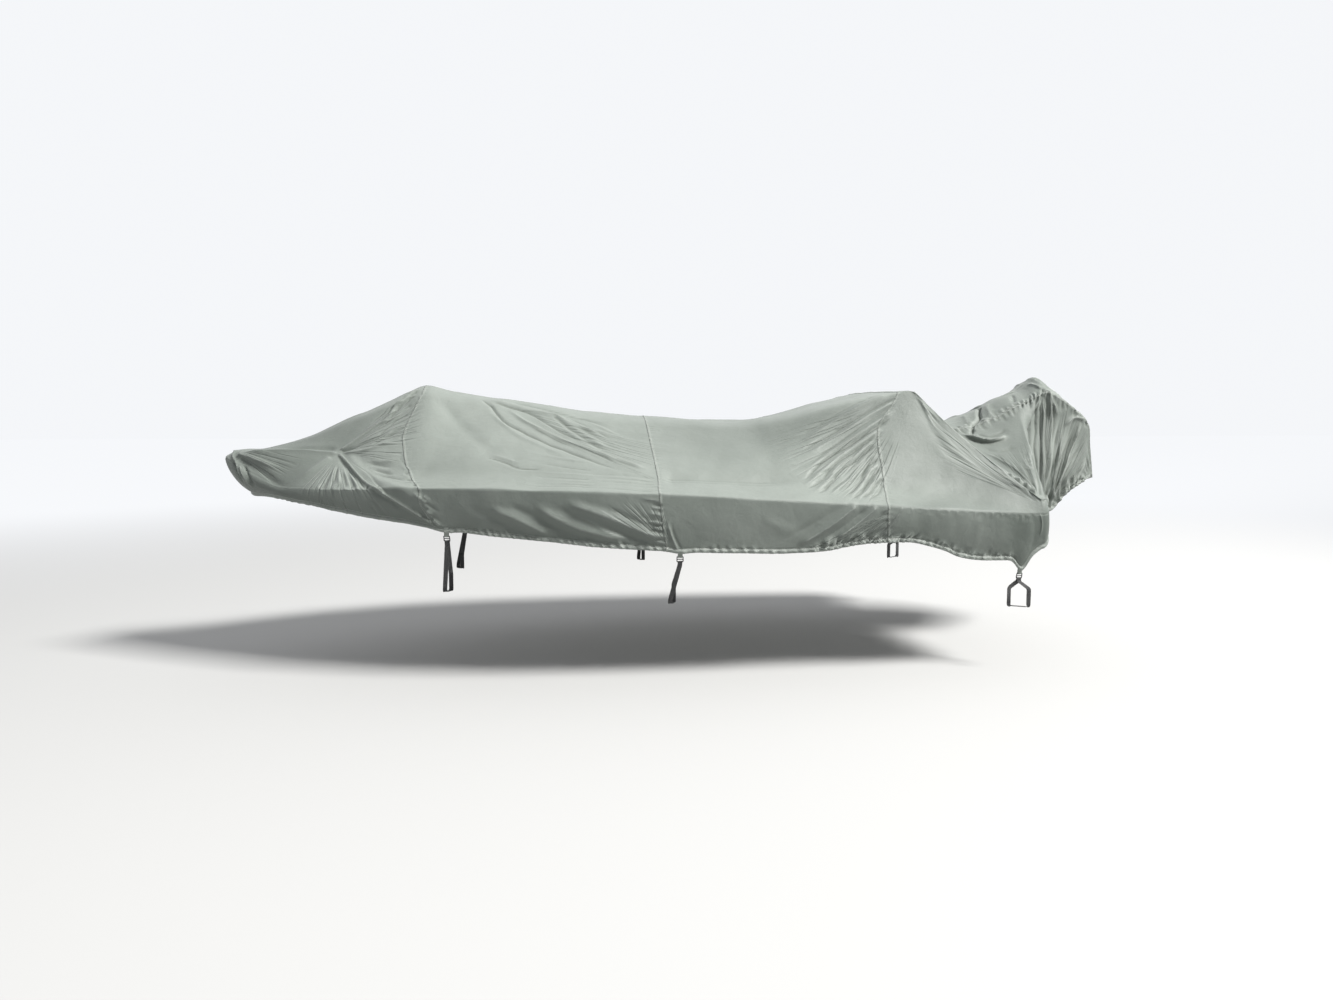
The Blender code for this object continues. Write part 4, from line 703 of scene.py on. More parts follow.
# Fine creases that run out from one place between two others, count of them. near and far: where they
# start and end, as shares of the way; depth: how strong they are.
Rays = namedtuple("Rays", "sheet focus first last count near far depth")
RAYS = [
    Rays("hull", (0.66, 1.93), (1.09, 0.10), (1.02, 1.95), 13, 0.15, 1.00, 1.0),
    Rays("hull", (0.66, 2.02), (0.46, 3.10), (1.16, 3.20), 9, 0.15, 1.00, 0.8),
    Rays("hull", (0.02, 1.70), (0.30, 3.40), (0.50, 2.10), 6, 0.20, 1.00, 0.6),
    Rays("hull", (1.34, 0.20), (2.42, 1.35), (2.42, 2.30), 12, 0.30, 1.10, 0.55),
    Rays("hull", (2.50, 3.98), (1.90, 3.10), (2.44, 3.05), 8, 0.10, 0.75, 0.6),
    Rays("hull", (4.04, 0.95), (3.10, 1.10), (3.66, 2.90), 24, 0.33, 1.12, 0.7),
    Rays("hull", (3.76, 2.90), (3.10, 3.98), (3.66, 3.98), 10, 0.10, 1.05, 1.0),
    Rays("hull", (4.60, 1.60), (4.02, 1.12), (4.10, 1.70), 7, 0.05, 0.95, 0.5),
    Rays("hood", (1.00, 0.00), (0.62, 0.80), (1.70, 0.85), 14, 0.05, 0.70, 0.35),
    Rays("hood", (2.36, 0.02), (1.98, 0.98), (2.42, 0.98), 11, 0.05, 1.10, 1.0),
    Rays("hood", (2.44, 0.02), (2.44, 0.98), (2.97, 0.60), 12, 0.08, 1.10, 1.0),
]
RAY_EDGE = 0.12         # share of the angle over which they fade; at their ends, twice that of the way
LEAST_WAY = 0.01
PAST_RIDGE = 0.01       # how far they reach past the centre line

LINE_STEPS = 22         # points on a long fold's line
SHORT_STEPS = 7         # and on a gather's
GATHER_FADE = (0.15, 0.6)
FAN_FADE = (0.35, 0.35)

# How much the folds vary. A pair is the least and the most of a factor, a single number goes to either
# side.
MIRROR_SHIFT = {"hull": 0.018, "hood": 0.03}
MIRROR_RISE = 0.04
MIRROR_HEIGHT = (0.7, 1.25)
MIRROR_WIDTH = (0.85, 1.25)
FAN_ANGLE = 0.4         # as a share of the step between two folds
FAN_START = (0.7, 1.4)
FAN_MIDDLE = 0.6        # share of the way at which a fan's fold bends
FAN_STOP = (0.85, 1.05)
FAN_WANDER = (0.012, 0.02)
FAN_HEIGHT = (0.5, 1.2)
FAN_WIDTH = (0.8, 1.4)
GATHER_SPOT = 0.45      # as a share of the step between two folds
GATHER_REACH = (0.55, 1.4)
GATHER_SKEW = 0.012
GATHER_BEND = 0.004
GATHER_HEIGHT = (0.4, 1.2)
GATHER_WIDTH = (0.85, 1.3)

Line = namedtuple("Line", "sheet path width height fade sharp droop")


def line_path(sheet, places, side, steps):
    """Points of the surface under a smooth curve through the places."""
    curve = smooth(places, np.linspace(0, len(places) - 1, steps))
    return SURFACES[sheet](curve[:, 0], np.clip(curve[:, 1], 0, 4)) * np.array([1, side, 1])


def either_way(chance, most, size=None):
    """A number, or several, drawn evenly between minus most and most."""
    return chance.uniform(-most, most, size)


def long_folds(chance):
    """The folds laid one by one. Starboard has the port side's, each a little moved and changed."""
    lines = []
    for fold in FOLDS:
        for name, side in SIDES:
            places = np.array(fold.line)
            height, width = fold.height, fold.width
            if name == "starboard":
                places = places + np.array([either_way(chance, 1) * MIRROR_SHIFT[fold.sheet],
                                            either_way(chance, MIRROR_RISE)])
                height = height * chance.uniform(*MIRROR_HEIGHT)
                width = width * chance.uniform(*MIRROR_WIDTH)
            path = line_path(fold.sheet, places, side, LINE_STEPS)
            fade = fold.grow, fold.die
            lines.append(Line(fold.sheet, path, width, height, fade, fold.sharp, fold.droop))
    return lines


def fanned_folds(chance):
    """The folds of every fan, proud and sunk in turn, at about even angles from its focus."""
    lines = []
    for fan in FANS:
        focus, first, last = (np.array(p) for p in (fan.focus, fan.first, fan.last))
        for _, side in SIDES:
            for k in range(fan.count):
                far = first + (last - first) * (k + 0.5 + either_way(chance, FAN_ANGLE)) / fan.count
                start = fan.start * chance.uniform(*FAN_START)
                stop = fan.stop * chance.uniform(*FAN_STOP)
                share = np.array([start, FAN_MIDDLE, stop])[:, None]
                places = focus + (far - focus) * share + either_way(chance, 1, (3, 2)) * FAN_WANDER
                height = fan.height * chance.uniform(*FAN_HEIGHT) * (-1) ** k
                width = fan.width * chance.uniform(*FAN_WIDTH)
                path = line_path(fan.sheet, places, side, LINE_STEPS)
                lines.append(Line(fan.sheet, path, width, height, FAN_FADE, fan.sharp, 0))
    return lines


def gathered_folds(chance):
    """The small folds of every row, proud and sunk in turn, at about even steps along its line."""
    lines = []
    for row in GATHERS:
        for _, side in SIDES:
            for k in range(row.count):
                share = (k + 0.5 + either_way(chance, GATHER_SPOT)) / row.count
                start = smooth(row.line, np.array([share * (len(row.line) - 1)]))[0]
                step = np.array(row.reach) * chance.uniform(*GATHER_REACH)
                step = step + either_way(chance, GATHER_SKEW, 2)
                middle = start + step * 0.5 + either_way(chance, GATHER_BEND, 2)
                height = row.height * chance.uniform(*GATHER_HEIGHT) * (-1) ** k
                width = row.width * chance.uniform(*GATHER_WIDTH)
                path = line_path(row.sheet, np.array([start, middle, start + step]), side, SHORT_STEPS)
                lines.append(Line(row.sheet, path, width, height, GATHER_FADE, row.sharp, 0))
    return lines


def every_line(chance):
    """All folds, fans and gathers as lines in space."""
    return long_folds(chance) + fanned_folds(chance) + gathered_folds(chance)


REACH = 3.2             # how many widths off its line a fold still counts
REACH_FADE = 0.8        # and over how many of the last widths it fades
LEAST_FADE = 0.01       # least share of its length over which a fold grows or dies away
CREASE_FALL = 1.6       # how fast a crease falls off, per width
CREASE_BLUNT = 0.01     # square of the widths over which its top is round
CALM = 0.010            # folds die away this near the tent ridge, whose seam is taut


def step_smooth(value):
    """0 below zero, 1 above one, and a smooth S between."""
    value = np.clip(value, 0, 1)
    return value * value * (3 - 2 * value)


def fold_lift(cloth, lines):
    """How far each point stands proud, and how far it hangs. Across a fold the height falls off as
    exp(-t*t) where it is soft and as exp(-1.6|t|) with a rounded top where it is a crease, t being the
    distance from its line in widths."""
    lift = np.zeros(len(cloth.points))
    hang = np.zeros(len(cloth.points))
    for sheet in SURFACES:
        order = np.flatnonzero(cloth.areas == sheet)
        order = order[np.argsort(cloth.points[order, 0], kind="stable")]
        points = cloth.points[order]
        for line in lines:
            if line.sheet != sheet or not len(order):
                continue
            reach = REACH * line.width
            low, high = line.path.min(0) - reach, line.path.max(0) + reach
            first, last = np.searchsorted(points[:, 0], [low[0], high[0]])
            inside = np.all((points[first:last, 1:] > low[1:]) & (points[first:last, 1:] < high[1:]), 1)
            near = first + np.flatnonzero(inside)
            if not len(near):
                continue
            start, run = line.path[:-1], np.diff(line.path, axis=0)
            length = np.linalg.norm(run, axis=1)
            away = points[near][:, None] - start
            part = np.clip((away * run).sum(2) / np.maximum(length**2, TINY**2), 0, 1)
            distance = np.linalg.norm(away - part[..., None] * run, axis=2)
            best = distance.argmin(1)
            row = np.arange(len(near))
            gone = np.concatenate([[0], np.cumsum(length)])
            share = (gone[best] + part[row, best] * length[best]) / gone[-1]
            t = distance[row, best] / line.width
            soft = np.exp(-t * t)
            crease = np.exp(-CREASE_FALL * (np.sqrt(t * t + CREASE_BLUNT) - np.sqrt(CREASE_BLUNT)))
            profile = soft + (crease - soft) * line.sharp
            profile *= step_smooth((REACH - t) / REACH_FADE)
            grow, die = (max(part_of_it, LEAST_FADE) for part_of_it in line.fade)
            profile *= step_smooth(share / grow) * step_smooth((1 - share) / die)
            lift[order[near]] += line.height * profile
            hang[order[near]] += line.height * line.droop * profile
    return lift, hang


def ray_measures(cloth):
    """For each point the number of its ray, the distance out along it and how strong it is there. The
    angle is taken at the focus, in the plane of the directions to first and last; the strongest fan
    counts."""
    turn, out, depth = np.zeros((3, len(cloth.points)))
    for rays in RAYS:
        for _, side in SIDES:
            focus, first, last = (SURFACES[rays.sheet](*np.array(p)) * np.array([1, side, 1])
                                  for p in (rays.focus, rays.first, rays.last))
            reach = np.linalg.norm(first - focus), np.linalg.norm(last - focus)
            ahead = (first - focus) / reach[0]
            aside = (last - focus) - ahead * ((last - focus) @ ahead)
            aside /= np.linalg.norm(aside)
            away = cloth.points - focus
            whole = np.arctan2((last - focus) @ aside, (last - focus) @ ahead)
            share = np.arctan2(away @ aside, away @ ahead) / whole
            distance = np.linalg.norm(away, axis=1)
            way = reach[0] + (reach[1] - reach[0]) * np.clip(share, 0, 1)
            gone = distance / np.maximum(way, LEAST_WAY)
            ends = gone - rays.near, rays.far - gone
            strong = step_smooth(share / RAY_EDGE) * step_smooth((1 - share) / RAY_EDGE)
            strong *= step_smooth(ends[0] / (2 * RAY_EDGE)) * step_smooth(ends[1] / (2 * RAY_EDGE))
            strong *= rays.depth * (cloth.areas == rays.sheet) * (cloth.points[:, 1] * side > -PAST_RIDGE)
            more = strong > depth
            turn[more], out[more], depth[more] = share[more] * rays.count, distance[more], strong[more]
    return turn, out, depth


SWELLS = ((0.0024, 0.28, 0.60, 9), (0.0009, 0.11, 0.24, 14))    # height, shortest and longest wave, how many
HEM_ROLL = 0.024        # the hem's rolled channel, with its rope
HEM_BULGE = 0.0085
HEM_STITCH = 0.027
STITCH_DENT = 0.0015    # how deep the hem's stitches draw the cloth in, and how far to either side
STITCH_HALF = 0.004
LAP_FLAT = 0.0005       # how far a lap stays at its height, and then falls
LAP_FALL = 0.0055
WELT = 0.0026           # height of a seam's welt
WELT_HALF = 0.005
PUCKER = 0.0012         # height of the puckers
LAP_PUCKERS = 0.02      # how far they reach from a lap
SEAM_PUCKERS = 0.012    # and from a seam, where they are highest this far away
SEAM_NEAR = 0.9         # a point farther from a seam than this belongs to none

# Pitch of the puckers along a lap and along a seam, and how much and how often they stray from it.
Puckers = namedtuple("Puckers", "pitch stray turns")
BY_LAP = Puckers(0.034, 2.4, 23)
BY_SEAM = Puckers(0.037, 2.2, 19)


def unevenness(points, chance):
    """Broad swells that no cloth is without: waves in directions and lengths drawn at random."""
    total = np.zeros(len(points))
    for height, shortest, longest, count in SWELLS:
        for _ in range(count):
            direction = chance.normal(size=3)
            direction *= 2 * np.pi / chance.uniform(shortest, longest) / np.linalg.norm(direction)
            total += height / np.sqrt(count / 2) * np.sin(points @ direction + chance.uniform(0, 2 * np.pi))
    return total


def puckered(travel, kind):
    """Puckers along a thread: the sine of the distance over their pitch, itself moved by a slower sine."""
    return np.sin(travel * 2 * np.pi / kind.pitch + kind.stray * np.sin(travel * kind.turns))


def edge_lift(cloth):
    """The lap over the panel before, the rolled hem with its rope, and the welts and puckers of the
    seams."""
    rise = LAP_RISE * (1 - step_smooth((cloth.lap_edge - LAP - LAP_FLAT) / LAP_FALL))
    roll = np.clip((cloth.hem - HEM_ROLL / 2) / (HEM_ROLL / 2), -1, 1)
    rise += HEM_BULGE * np.sqrt(1 - roll**2)
    rise -= STITCH_DENT * np.exp(-((cloth.hem - HEM_STITCH) / STITCH_HALF) ** 2)
    rise += WELT * np.exp(-((cloth.seam / WELT_HALF) ** 2))
    from_lap = np.exp(-np.clip(cloth.lap_edge - LAP, 0, 1) / LAP_PUCKERS) * (cloth.lap_edge < FAR)
    from_seam = np.exp(-((cloth.seam - SEAM_PUCKERS) / SEAM_PUCKERS) ** 2) * (cloth.seam < SEAM_NEAR)
    rise += PUCKER * puckered(cloth.around, BY_LAP) * from_lap
    return rise + PUCKER * puckered(cloth.along, BY_SEAM) * from_seam


def neighbours_of(triangles):
    """Every pair of points that an edge joins, once."""
    pairs = np.concatenate([triangles[:, [0, 1]], triangles[:, [1, 2]], triangles[:, [2, 0]]])
    pairs.sort(axis=1)
    base = pairs.max() + 1
    codes = np.unique(pairs[:, 0].astype(np.int64) * base + pairs[:, 1])
    return codes // base, codes % base


# Spots where light (above 0) or shade (below 0) is painted into the cloth's colour, on top of what its slope
# gives: centre, radius in metres, amount.
Fade = namedtuple("Fade", "sheet place radius amount")
PAINTED_LIGHT_SPOTS = [
    Fade("hull", (0.30, 1.10), 0.35, -0.50),
    Fade("hull", (0.62, 0.80), 0.22, -0.18),
    Fade("hull", (0.93, 1.75), 0.22, 0.48),
    Fade("hull", (1.50, 1.25), 0.42, 0.22),
    Fade("hull", (2.75, 1.10), 0.42, -0.24),
    Fade("hull", (3.20, 0.90), 0.34, -0.22),
    Fade("hull", (3.52, 1.80), 0.25, 0.25),
    Fade("hull", (4.22, 1.80), 0.36, 0.34),
    Fade("hull", (4.05, 3.60), 0.30, -0.80),
    Fade("hull", (4.45, 3.55), 0.32, -1.05),
    Fade("hood", (0.95, 0.62), 0.30, -0.95),
    Fade("hood", (1.10, 1.30), 0.30, -0.35),
    Fade("hood", (2.28, 0.55), 0.22, 1.15),
    Fade("hood", (2.62, 0.50), 0.20, 0.45),
]


def painted_light_at(cloth, normals):
    """How much painted light each point gets in its colour: the upward part of its normal, so that faces
    turned up are painted lighter and faces turned aside darker, and every spot's amount times
    exp(-(d/radius)^2), d being the distance from its centre, on either side alike."""
    total = normals[:, 2].copy()
    flip = np.array([1, -1, 1])
    for fade in PAINTED_LIGHT_SPOTS:
        centre = SURFACES[fade.sheet](*np.array(fade.place))
        for middle in (centre, centre * flip):
            distance = np.linalg.norm(cloth.points - middle, axis=1)
            mine = (cloth.areas == fade.sheet) & (cloth.points[:, 1] * middle[1] > 0)
            total += fade.amount * np.exp(-((distance / fade.radius) ** 2)) * mine
    return total


# How much the hem's rope draws it in, along the hull.
DRAWN_AT = (0.2, 1.15, 1.35, 2.35, 2.52, 3.15, 3.35, 3.85, 4.05, 4.60)
DRAWN = (0.25, 0.25, 0.80, 0.80, 0.15, 0.15, 1.00, 1.00, 0.35, 0.35)

FLAT_SLOPE = 0.2        # where the cloth slopes less than this, its folds hang less
LINING_REACH = 2        # how many neighbours away the lining looks for the lowest lift

Draped = namedtuple("Draped", "cloth triangles kept skin lining crease sun drawn rays")


def drape(cloth, lines, chance):
    """The cloth with its folds. The lining keeps one sheet under the lowest lift round about each point,
    so that it stays behind the skin where a fold is sharp. crease is how far a point stands out from those
    around it."""
    triangles, kept = triangles_of(cloth.points, cloth.cells)
    normals = normals_of(cloth.points, triangles[kept])
    folds, hang = fold_lift(cloth, lines)
    taut = step_smooth(cloth.calm / CALM)
    lift = folds * taut + unevenness(cloth.points, chance) * taut + edge_lift(cloth)
    downhill = normals * normals[:, 2:] - np.array([0, 0, 1])
    downhill /= np.maximum(np.linalg.norm(downhill, axis=1, keepdims=True), FLAT_SLOPE)
    slide = downhill * (hang * taut)[:, None]
    one, two = neighbours_of(triangles[kept])
    low = lift.copy()
    for _ in range(LINING_REACH):
        before = low.copy()
        np.minimum.at(low, one, before[two])
        np.minimum.at(low, two, before[one])
    skin = cloth.points + normals * lift[:, None] + slide
    lining = cloth.points + normals * (low - SHEET)[:, None] + slide
    size = np.bincount(one, minlength=len(skin)) + np.bincount(two, minlength=len(skin))
    crease = np.zeros(len(skin))
    for axis in range(3):
        around = np.bincount(one, skin[two, axis], len(skin)) + np.bincount(two, skin[one, axis], len(skin))
        crease += (skin[:, axis] - around / np.maximum(size, 1)) * normals[:, axis]
    drawn = np.where(cloth.areas == "hull", np.interp(cloth.points[:, 0], DRAWN_AT, DRAWN), 1.0)
    # The colour's painted light and shade: lighter where the cloth faces up, darker where it faces aside,
    # changed at the listed spots.
    sun, rays = painted_light_at(cloth, normals), ray_measures(cloth)
    return Draped(cloth, triangles, kept, skin, lining, crease, sun, drawn, rays)


# ------------------------------------------------------------------ meshes

def mesh_object(name, points, triangles, uv=None, values=None):
    """A mesh from whole arrays, smooth-shaded, with its own UV in metres and its measures as
    attributes."""
    mesh = bpy.data.meshes.new(name)
    mesh.vertices.add(len(points))
    mesh.vertices.foreach_set("co", place(points).astype(np.float32).ravel())
    mesh.loops.add(triangles.size)
    mesh.loops.foreach_set("vertex_index", triangles.astype(np.int32).ravel())
    mesh.polygons.add(len(triangles))
    mesh.polygons.foreach_set("loop_start", np.arange(0, triangles.size, triangles.shape[1], dtype=np.int32))
    mesh.polygons.foreach_set("use_smooth", np.ones(len(triangles), bool))
    if uv is not None:
        layer = mesh.uv_layers.new(name="weave")
        layer.data.foreach_set("uv", uv[triangles.ravel()].astype(np.float32).ravel())
    for key, value in (values or {}).items():
        attribute = mesh.attributes.new(key, "FLOAT", "POINT")
        attribute.data.foreach_set("value", np.asarray(value, np.float32))
    mesh.update(calc_edges=True)
    mesh.validate()
    made = bpy.data.objects.new(name, mesh)
    bpy.context.collection.objects.link(made)
    return made


def panel_object(name, draped, panel):
    """One panel: its share of the skin, of the lining, and a wall round the rim that joins them."""
    cloth = draped.cloth
    top = draped.triangles[np.repeat(cloth.names == panel, 2) & draped.kept]
    mine = cloth.coarse_names == panel
    blocks = cloth.coarse[mine]
    under, whole = triangles_of(draped.lining, blocks)
    under = under[whole][:, ::-1]
    a, b, half = blocks.ravel(), np.roll(blocks, -1, 1).ravel(), cloth.middles[mine].ravel()
    code = np.minimum(a, b).astype(np.int64) * len(draped.skin) + np.maximum(a, b)
    _, index, count = np.unique(code, return_inverse=True, return_counts=True)
    rim = (count[index.ravel()] == 1) & (a != b)
    a, b, half = a[rim], b[rim], half[rim]
    down = len(draped.skin)
    walls = np.concatenate([np.stack([half, a, a + down], -1), np.stack([b, half, b + down], -1),
                            np.stack([half, a + down, b + down], -1)])
    faces = np.concatenate([top, under + down, walls])
    used, faces = np.unique(faces, return_inverse=True)
    faces = faces.reshape(-1, 3)
    inner = used >= down
    source = used % down
    points = np.concatenate([draped.skin, draped.lining])[used]
    uv = np.stack([cloth.along[source], cloth.around[source]], -1)
    values = {key: np.where(inner, 1.0, getattr(cloth, key)[source]) for key in ("hem", "lap_edge", "seam")}
    values["crease"] = np.where(inner | (cloth.lap_edge[source] < 2 * LAP), 0, draped.crease[source])
    # painted light and shade, for the colour
    values["sun"] = draped.sun[source]
    values["drawn"] = draped.drawn[source]
    for key, value in zip(("ray_turn", "ray_out", "ray_depth"), draped.rays):
        values[key] = value[source]
    values["backing"] = inner
    return mesh_object(name, points, faces, uv, values)


# ------------------------------------------------------------------ straps, loops and buckles

LOOP_WIDTH = 0.026
LOOP_PLY = 0.0013
LOOP_BORE = 0.0052
LOOP_INSIDE = 0.026
LOOP_HANG = 0.024
BUCKLE_WIDTH = 0.038
BUCKLE_DEEP = 0.034
BUCKLE_THICK = 0.0045
BUCKLE_RAIL = 0.005
BUCKLE_TURN = 0.0045    # radius of the frame's corners, along the middle of its rails
STRAP_WIDTH = 0.025
STRAP_THICK = 0.0015
STRAP_BEND = 0.012
STRAP_APART = 0.0037    # half the distance between its two runs below the buckle
STRAP_STRAIGHT = 0.015
STRAP_STEP = 0.004      # distance between the rings of a strap
STRAP_TWIST = np.radians(9)
STRAP_TUCK = 0.0012     # how far from the buckle's middle plane its ends lie
STRAP_ABOVE = 0.02      # how far above the block's underside a strap meets one that lies inboard of it
LOOP_TURN_STEPS = 13    # rings round each end of a loop, and down each of its plies
LOOP_PLY_STEPS = 15
BUCKLE_ROUND = 0.0016   # rounding of the rails' own cross-section
BUCKLE_STEP = 0.0012    # distance between the rings of the frame
BAR_SHARE = 0.92        # thickness of the bar as a share of the rails'
BAR_RINGS = 9
TURN_STEPS = 9          # points round a turn of a path
EDGE_STEPS = 4          # points round a corner of a cross-section
TIE_ABOVE = 3.7         # girth of the place above a tie that gives the skirt's direction
TIE_BESIDE = 0.02       # how far to either side the hem's direction is read


def rounded_path(corners, radius, step, closed=False):
    """The line through corners with each turn replaced by a parabola, at even steps."""
    corners = np.asarray(corners, float)
    path = [] if closed else [corners[0]]
    for k in range(len(corners)) if closed else range(1, len(corners) - 1):
        here, before, after = corners[k], corners[k - 1], corners[(k + 1) % len(corners)]
        enter, leave = (here + (other - here) * min(radius / np.linalg.norm(other - here), MOST_ROUNDED)
                        for other in (before, after))
        path += [enter * (1 - w) ** 2 + here * 2 * w * (1 - w) + leave * w**2
                 for w in np.linspace(0, 1, TURN_STEPS)]
    path = np.array(path + [path[0]] if closed else path + [corners[-1]])
    gone = np.concatenate([[0], np.cumsum(np.linalg.norm(np.diff(path, axis=0), axis=1))])
    even = np.linspace(0, gone[-1], max(int(gone[-1] / step), 8) + 1)
    even = np.stack([np.interp(even, gone, path[:, k]) for k in range(3)], -1)
    return even[:-1] if closed else even


def rounded_outline(width, thick, radius, wide_cells):
    """Cross-section of a band or rail: a rectangle with round corners, as (across, out) points in
    order."""
    turn = np.linspace(0, np.pi / 2, EDGE_STEPS)
    half, deep = width / 2 - radius, thick / 2 - radius
    sides = []
    for k, (a, b) in enumerate(((1, 1), (-1, 1), (-1, -1), (1, -1))):
        angle = turn + k * np.pi / 2
        sides.append(np.stack([a * half + radius * np.cos(angle), b * deep + radius * np.sin(angle)], -1))
        if k % 2 == 0 and wide_cells > 1:
            between = np.linspace(a * half, -a * half, wide_cells + 1)[1:-1]
            sides.append(np.stack([between, np.full_like(between, b * thick / 2)], -1))
    return np.concatenate(sides)


def band(path, across, outline, closed):
    """A solid band: the outline set square to the path at each of its points, its long side along across.
    Returns the points, the triangles and the measures along and round it."""
    ahead = np.roll(path, -1, 0) - np.roll(path, 1, 0)
    if not closed:
        ahead[0], ahead[-1] = path[1] - path[0], path[-1] - path[-2]
    ahead /= np.linalg.norm(ahead, axis=1, keepdims=True)
    wide = across - ahead * (across * ahead).sum(1, keepdims=True)
    wide /= np.linalg.norm(wide, axis=1, keepdims=True)
    out = np.cross(ahead, wide)
    points = path[:, None] + wide[:, None] * outline[:, :1] + out[:, None] * outline[:, 1:]
    rings, round_it = points.shape[:2]
    number = np.arange(rings * round_it).reshape(rings, round_it)
    after = np.roll(number, -1, 0) if closed else number[1:]
    ring = number if closed else number[:-1]
    beside, after_beside = np.roll(ring, -1, 1), np.roll(after, -1, 1)
    faces = np.concatenate([np.stack([ring, beside, after_beside], -1).reshape(-1, 3),
                            np.stack([ring, after_beside, after], -1).reshape(-1, 3)])
    if not closed:
        fan = np.arange(1, round_it - 1)
        faces = np.concatenate([faces, np.stack([0 * fan, fan + 1, fan], -1),
                                number[-1][np.stack([0 * fan, fan, fan + 1], -1)]])
    gone = np.concatenate([[0], np.cumsum(np.linalg.norm(np.diff(path, axis=0), axis=1))])
    uv = np.stack([np.repeat(gone, round_it), np.tile(outline[:, 0], rings)], -1)
    return points.reshape(-1, 3), outward(points.reshape(-1, 3), faces), uv


def outward(points, faces):
    """The triangles, all turned round when they enclose a negative volume."""
    a, b, c = (points[faces[:, k]] - points[0] for k in range(3))
    return faces if np.einsum("ij,ij->", a, np.cross(b, c)) > 0 else faces[:, ::-1]


def joined(parts):
    """Several shells as one set of points, triangles and UV."""
    points, faces, uv = zip(*parts)
    starts = np.cumsum([0] + [len(p) for p in points[:-1]])
    return np.concatenate(points), np.concatenate([f + n for f, n in zip(faces, starts)]), np.concatenate(uv)


def tie_frame(tie, side):
    """The hem edge at the tie, with the directions down the skirt, out of it and along it."""
    edge, above = hull_point(tie.x, 4.0), hull_point(tie.x, TIE_ABOVE)
    down = edge - above
    down /= np.linalg.norm(down)
    along = hull_point(tie.x + TIE_BESIDE, 4.0) - hull_point(tie.x - TIE_BESIDE, 4.0)
    along -= down * (along @ down)
    along /= np.linalg.norm(along)
    out = np.cross(along, down)
    out *= np.sign(out[1])
    flip = np.array([1, side, 1])
    return edge * flip, down * flip, out * flip, along * flip


def node_centre(name):
    """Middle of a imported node's vertices, in bow measure."""
    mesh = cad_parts[name].data
    points = np.empty(len(mesh.vertices) * 3)
    mesh.vertices.foreach_get("co", points)
    return points.reshape(-1, 3).mean(0) + np.array([ORIGIN_X, 0, ORIGIN_Z])


def hem_loop(name, tie, side, centre):
    """A folded band sewn up inside the hem: two plies that meet in a round end below it and lie flat
    above."""
    edge, down, out, along = tie_frame(tie, side)
    half = (LOOP_BORE + LOOP_PLY) / 2
    middle = edge + out * (out @ (centre - edge))
    top = middle - down * LOOP_INSIDE
    bottom = middle + down * (LOOP_HANG - half)
    turn = np.linspace(-np.pi / 2, np.pi / 2, LOOP_TURN_STEPS)[:, None]
    low = bottom + out * half * np.sin(-turn) + down * half * np.cos(turn)
    high = top + out * half * np.sin(turn) - down * half * np.cos(turn)
    rise = np.linspace(0, 1, LOOP_PLY_STEPS)[1:-1, None]
    up = low[-1] + (high[0] - low[-1]) * rise
    path = np.concatenate([low, up, high, high[-1] + (low[0] - high[-1]) * rise])
    outline = rounded_outline(LOOP_WIDTH, LOOP_PLY, LOOP_PLY * 0.4, 8)
    return mesh_object(name, *band(path, np.broadcast_to(along * side, path.shape), outline, True))


def buckle(name, tie, side, centre):
    """A rounded frame with a bar across its middle. Its rails are rounded rectangles along a rounded
    rectangle."""
    _, down, out, along = tie_frame(tie, side)
    half_wide, half_deep = (BUCKLE_WIDTH - BUCKLE_RAIL) / 2, (BUCKLE_DEEP - BUCKLE_RAIL) / 2
    corners = [centre + along * a * half_wide + down * b * half_deep
               for a, b in ((-1, -1), (1, -1), (1, 1), (-1, 1))]
    outline = rounded_outline(BUCKLE_THICK, BUCKLE_RAIL, BUCKLE_ROUND, 1)
    frame_path = rounded_path(corners, BUCKLE_TURN, BUCKLE_STEP, True)
    bar_path = centre + along * np.linspace(-half_wide, half_wide, BAR_RINGS)[:, None]
    return mesh_object(name, *joined([
        band(frame_path, np.broadcast_to(out, frame_path.shape), outline, True),
        band(bar_path, np.broadcast_to(out, bar_path.shape), outline * BAR_SHARE, False)]))


def strap_route(tie, side, centre):
    """The strap's route: out of the buckle's lower window over its bottom bar, down the outside of the tie's
    block, under it, up the inside, and back behind the bottom bar into the window."""
    _, down, out, _ = tie_frame(tie, side)
    window = centre + down * (BUCKLE_DEEP / 2 - BUCKLE_RAIL - STRAP_THICK)
    foot = centre + down * BUCKLE_DEEP / 2
    outer = tie.bar_y + tie.bar_width / 2 + STRAP_THICK
    inner = tie.bar_y - tie.bar_width / 2 - STRAP_THICK
    top = tie.bar_top + STRAP_THICK
    low = tie.bar_top - tie.bar_depth - STRAP_THICK
    x, half = tie.x + tie.lean, tie.apart / 2
    return [
        window + out * STRAP_TUCK, window + out * STRAP_APART,
        foot + out * STRAP_APART + down * STRAP_STRAIGHT,
        np.array([x - half, side * outer, top if outer > abs(foot[1]) else low + STRAP_ABOVE]),
        np.array([x - half, side * outer, low]), np.array([x + half, side * inner, low]),
        np.array([x + half, side * inner, top]), foot - out * STRAP_APART + down * STRAP_STRAIGHT,
        window - out * STRAP_APART, window - out * STRAP_TUCK]


def tie_strap(name, tie, side, centre):
    """The flat webbing on its route, its width fore and aft, turned a little where its two runs go down,
    and the route's points."""
    path = rounded_path(strap_route(tie, side, centre), STRAP_BEND, STRAP_STEP)
    outline = rounded_outline(STRAP_WIDTH, STRAP_THICK, STRAP_THICK * 0.45, 8)
    share = np.linspace(0, 1, len(path))
    twist = STRAP_TWIST * np.sin(2 * np.pi * share) ** 3
    across = np.stack([np.cos(twist), side * np.sin(twist), 0 * twist], -1)
    made = mesh_object(name, *band(path, across, outline, False))
    return made, path


# ------------------------------------------------------------------ looks

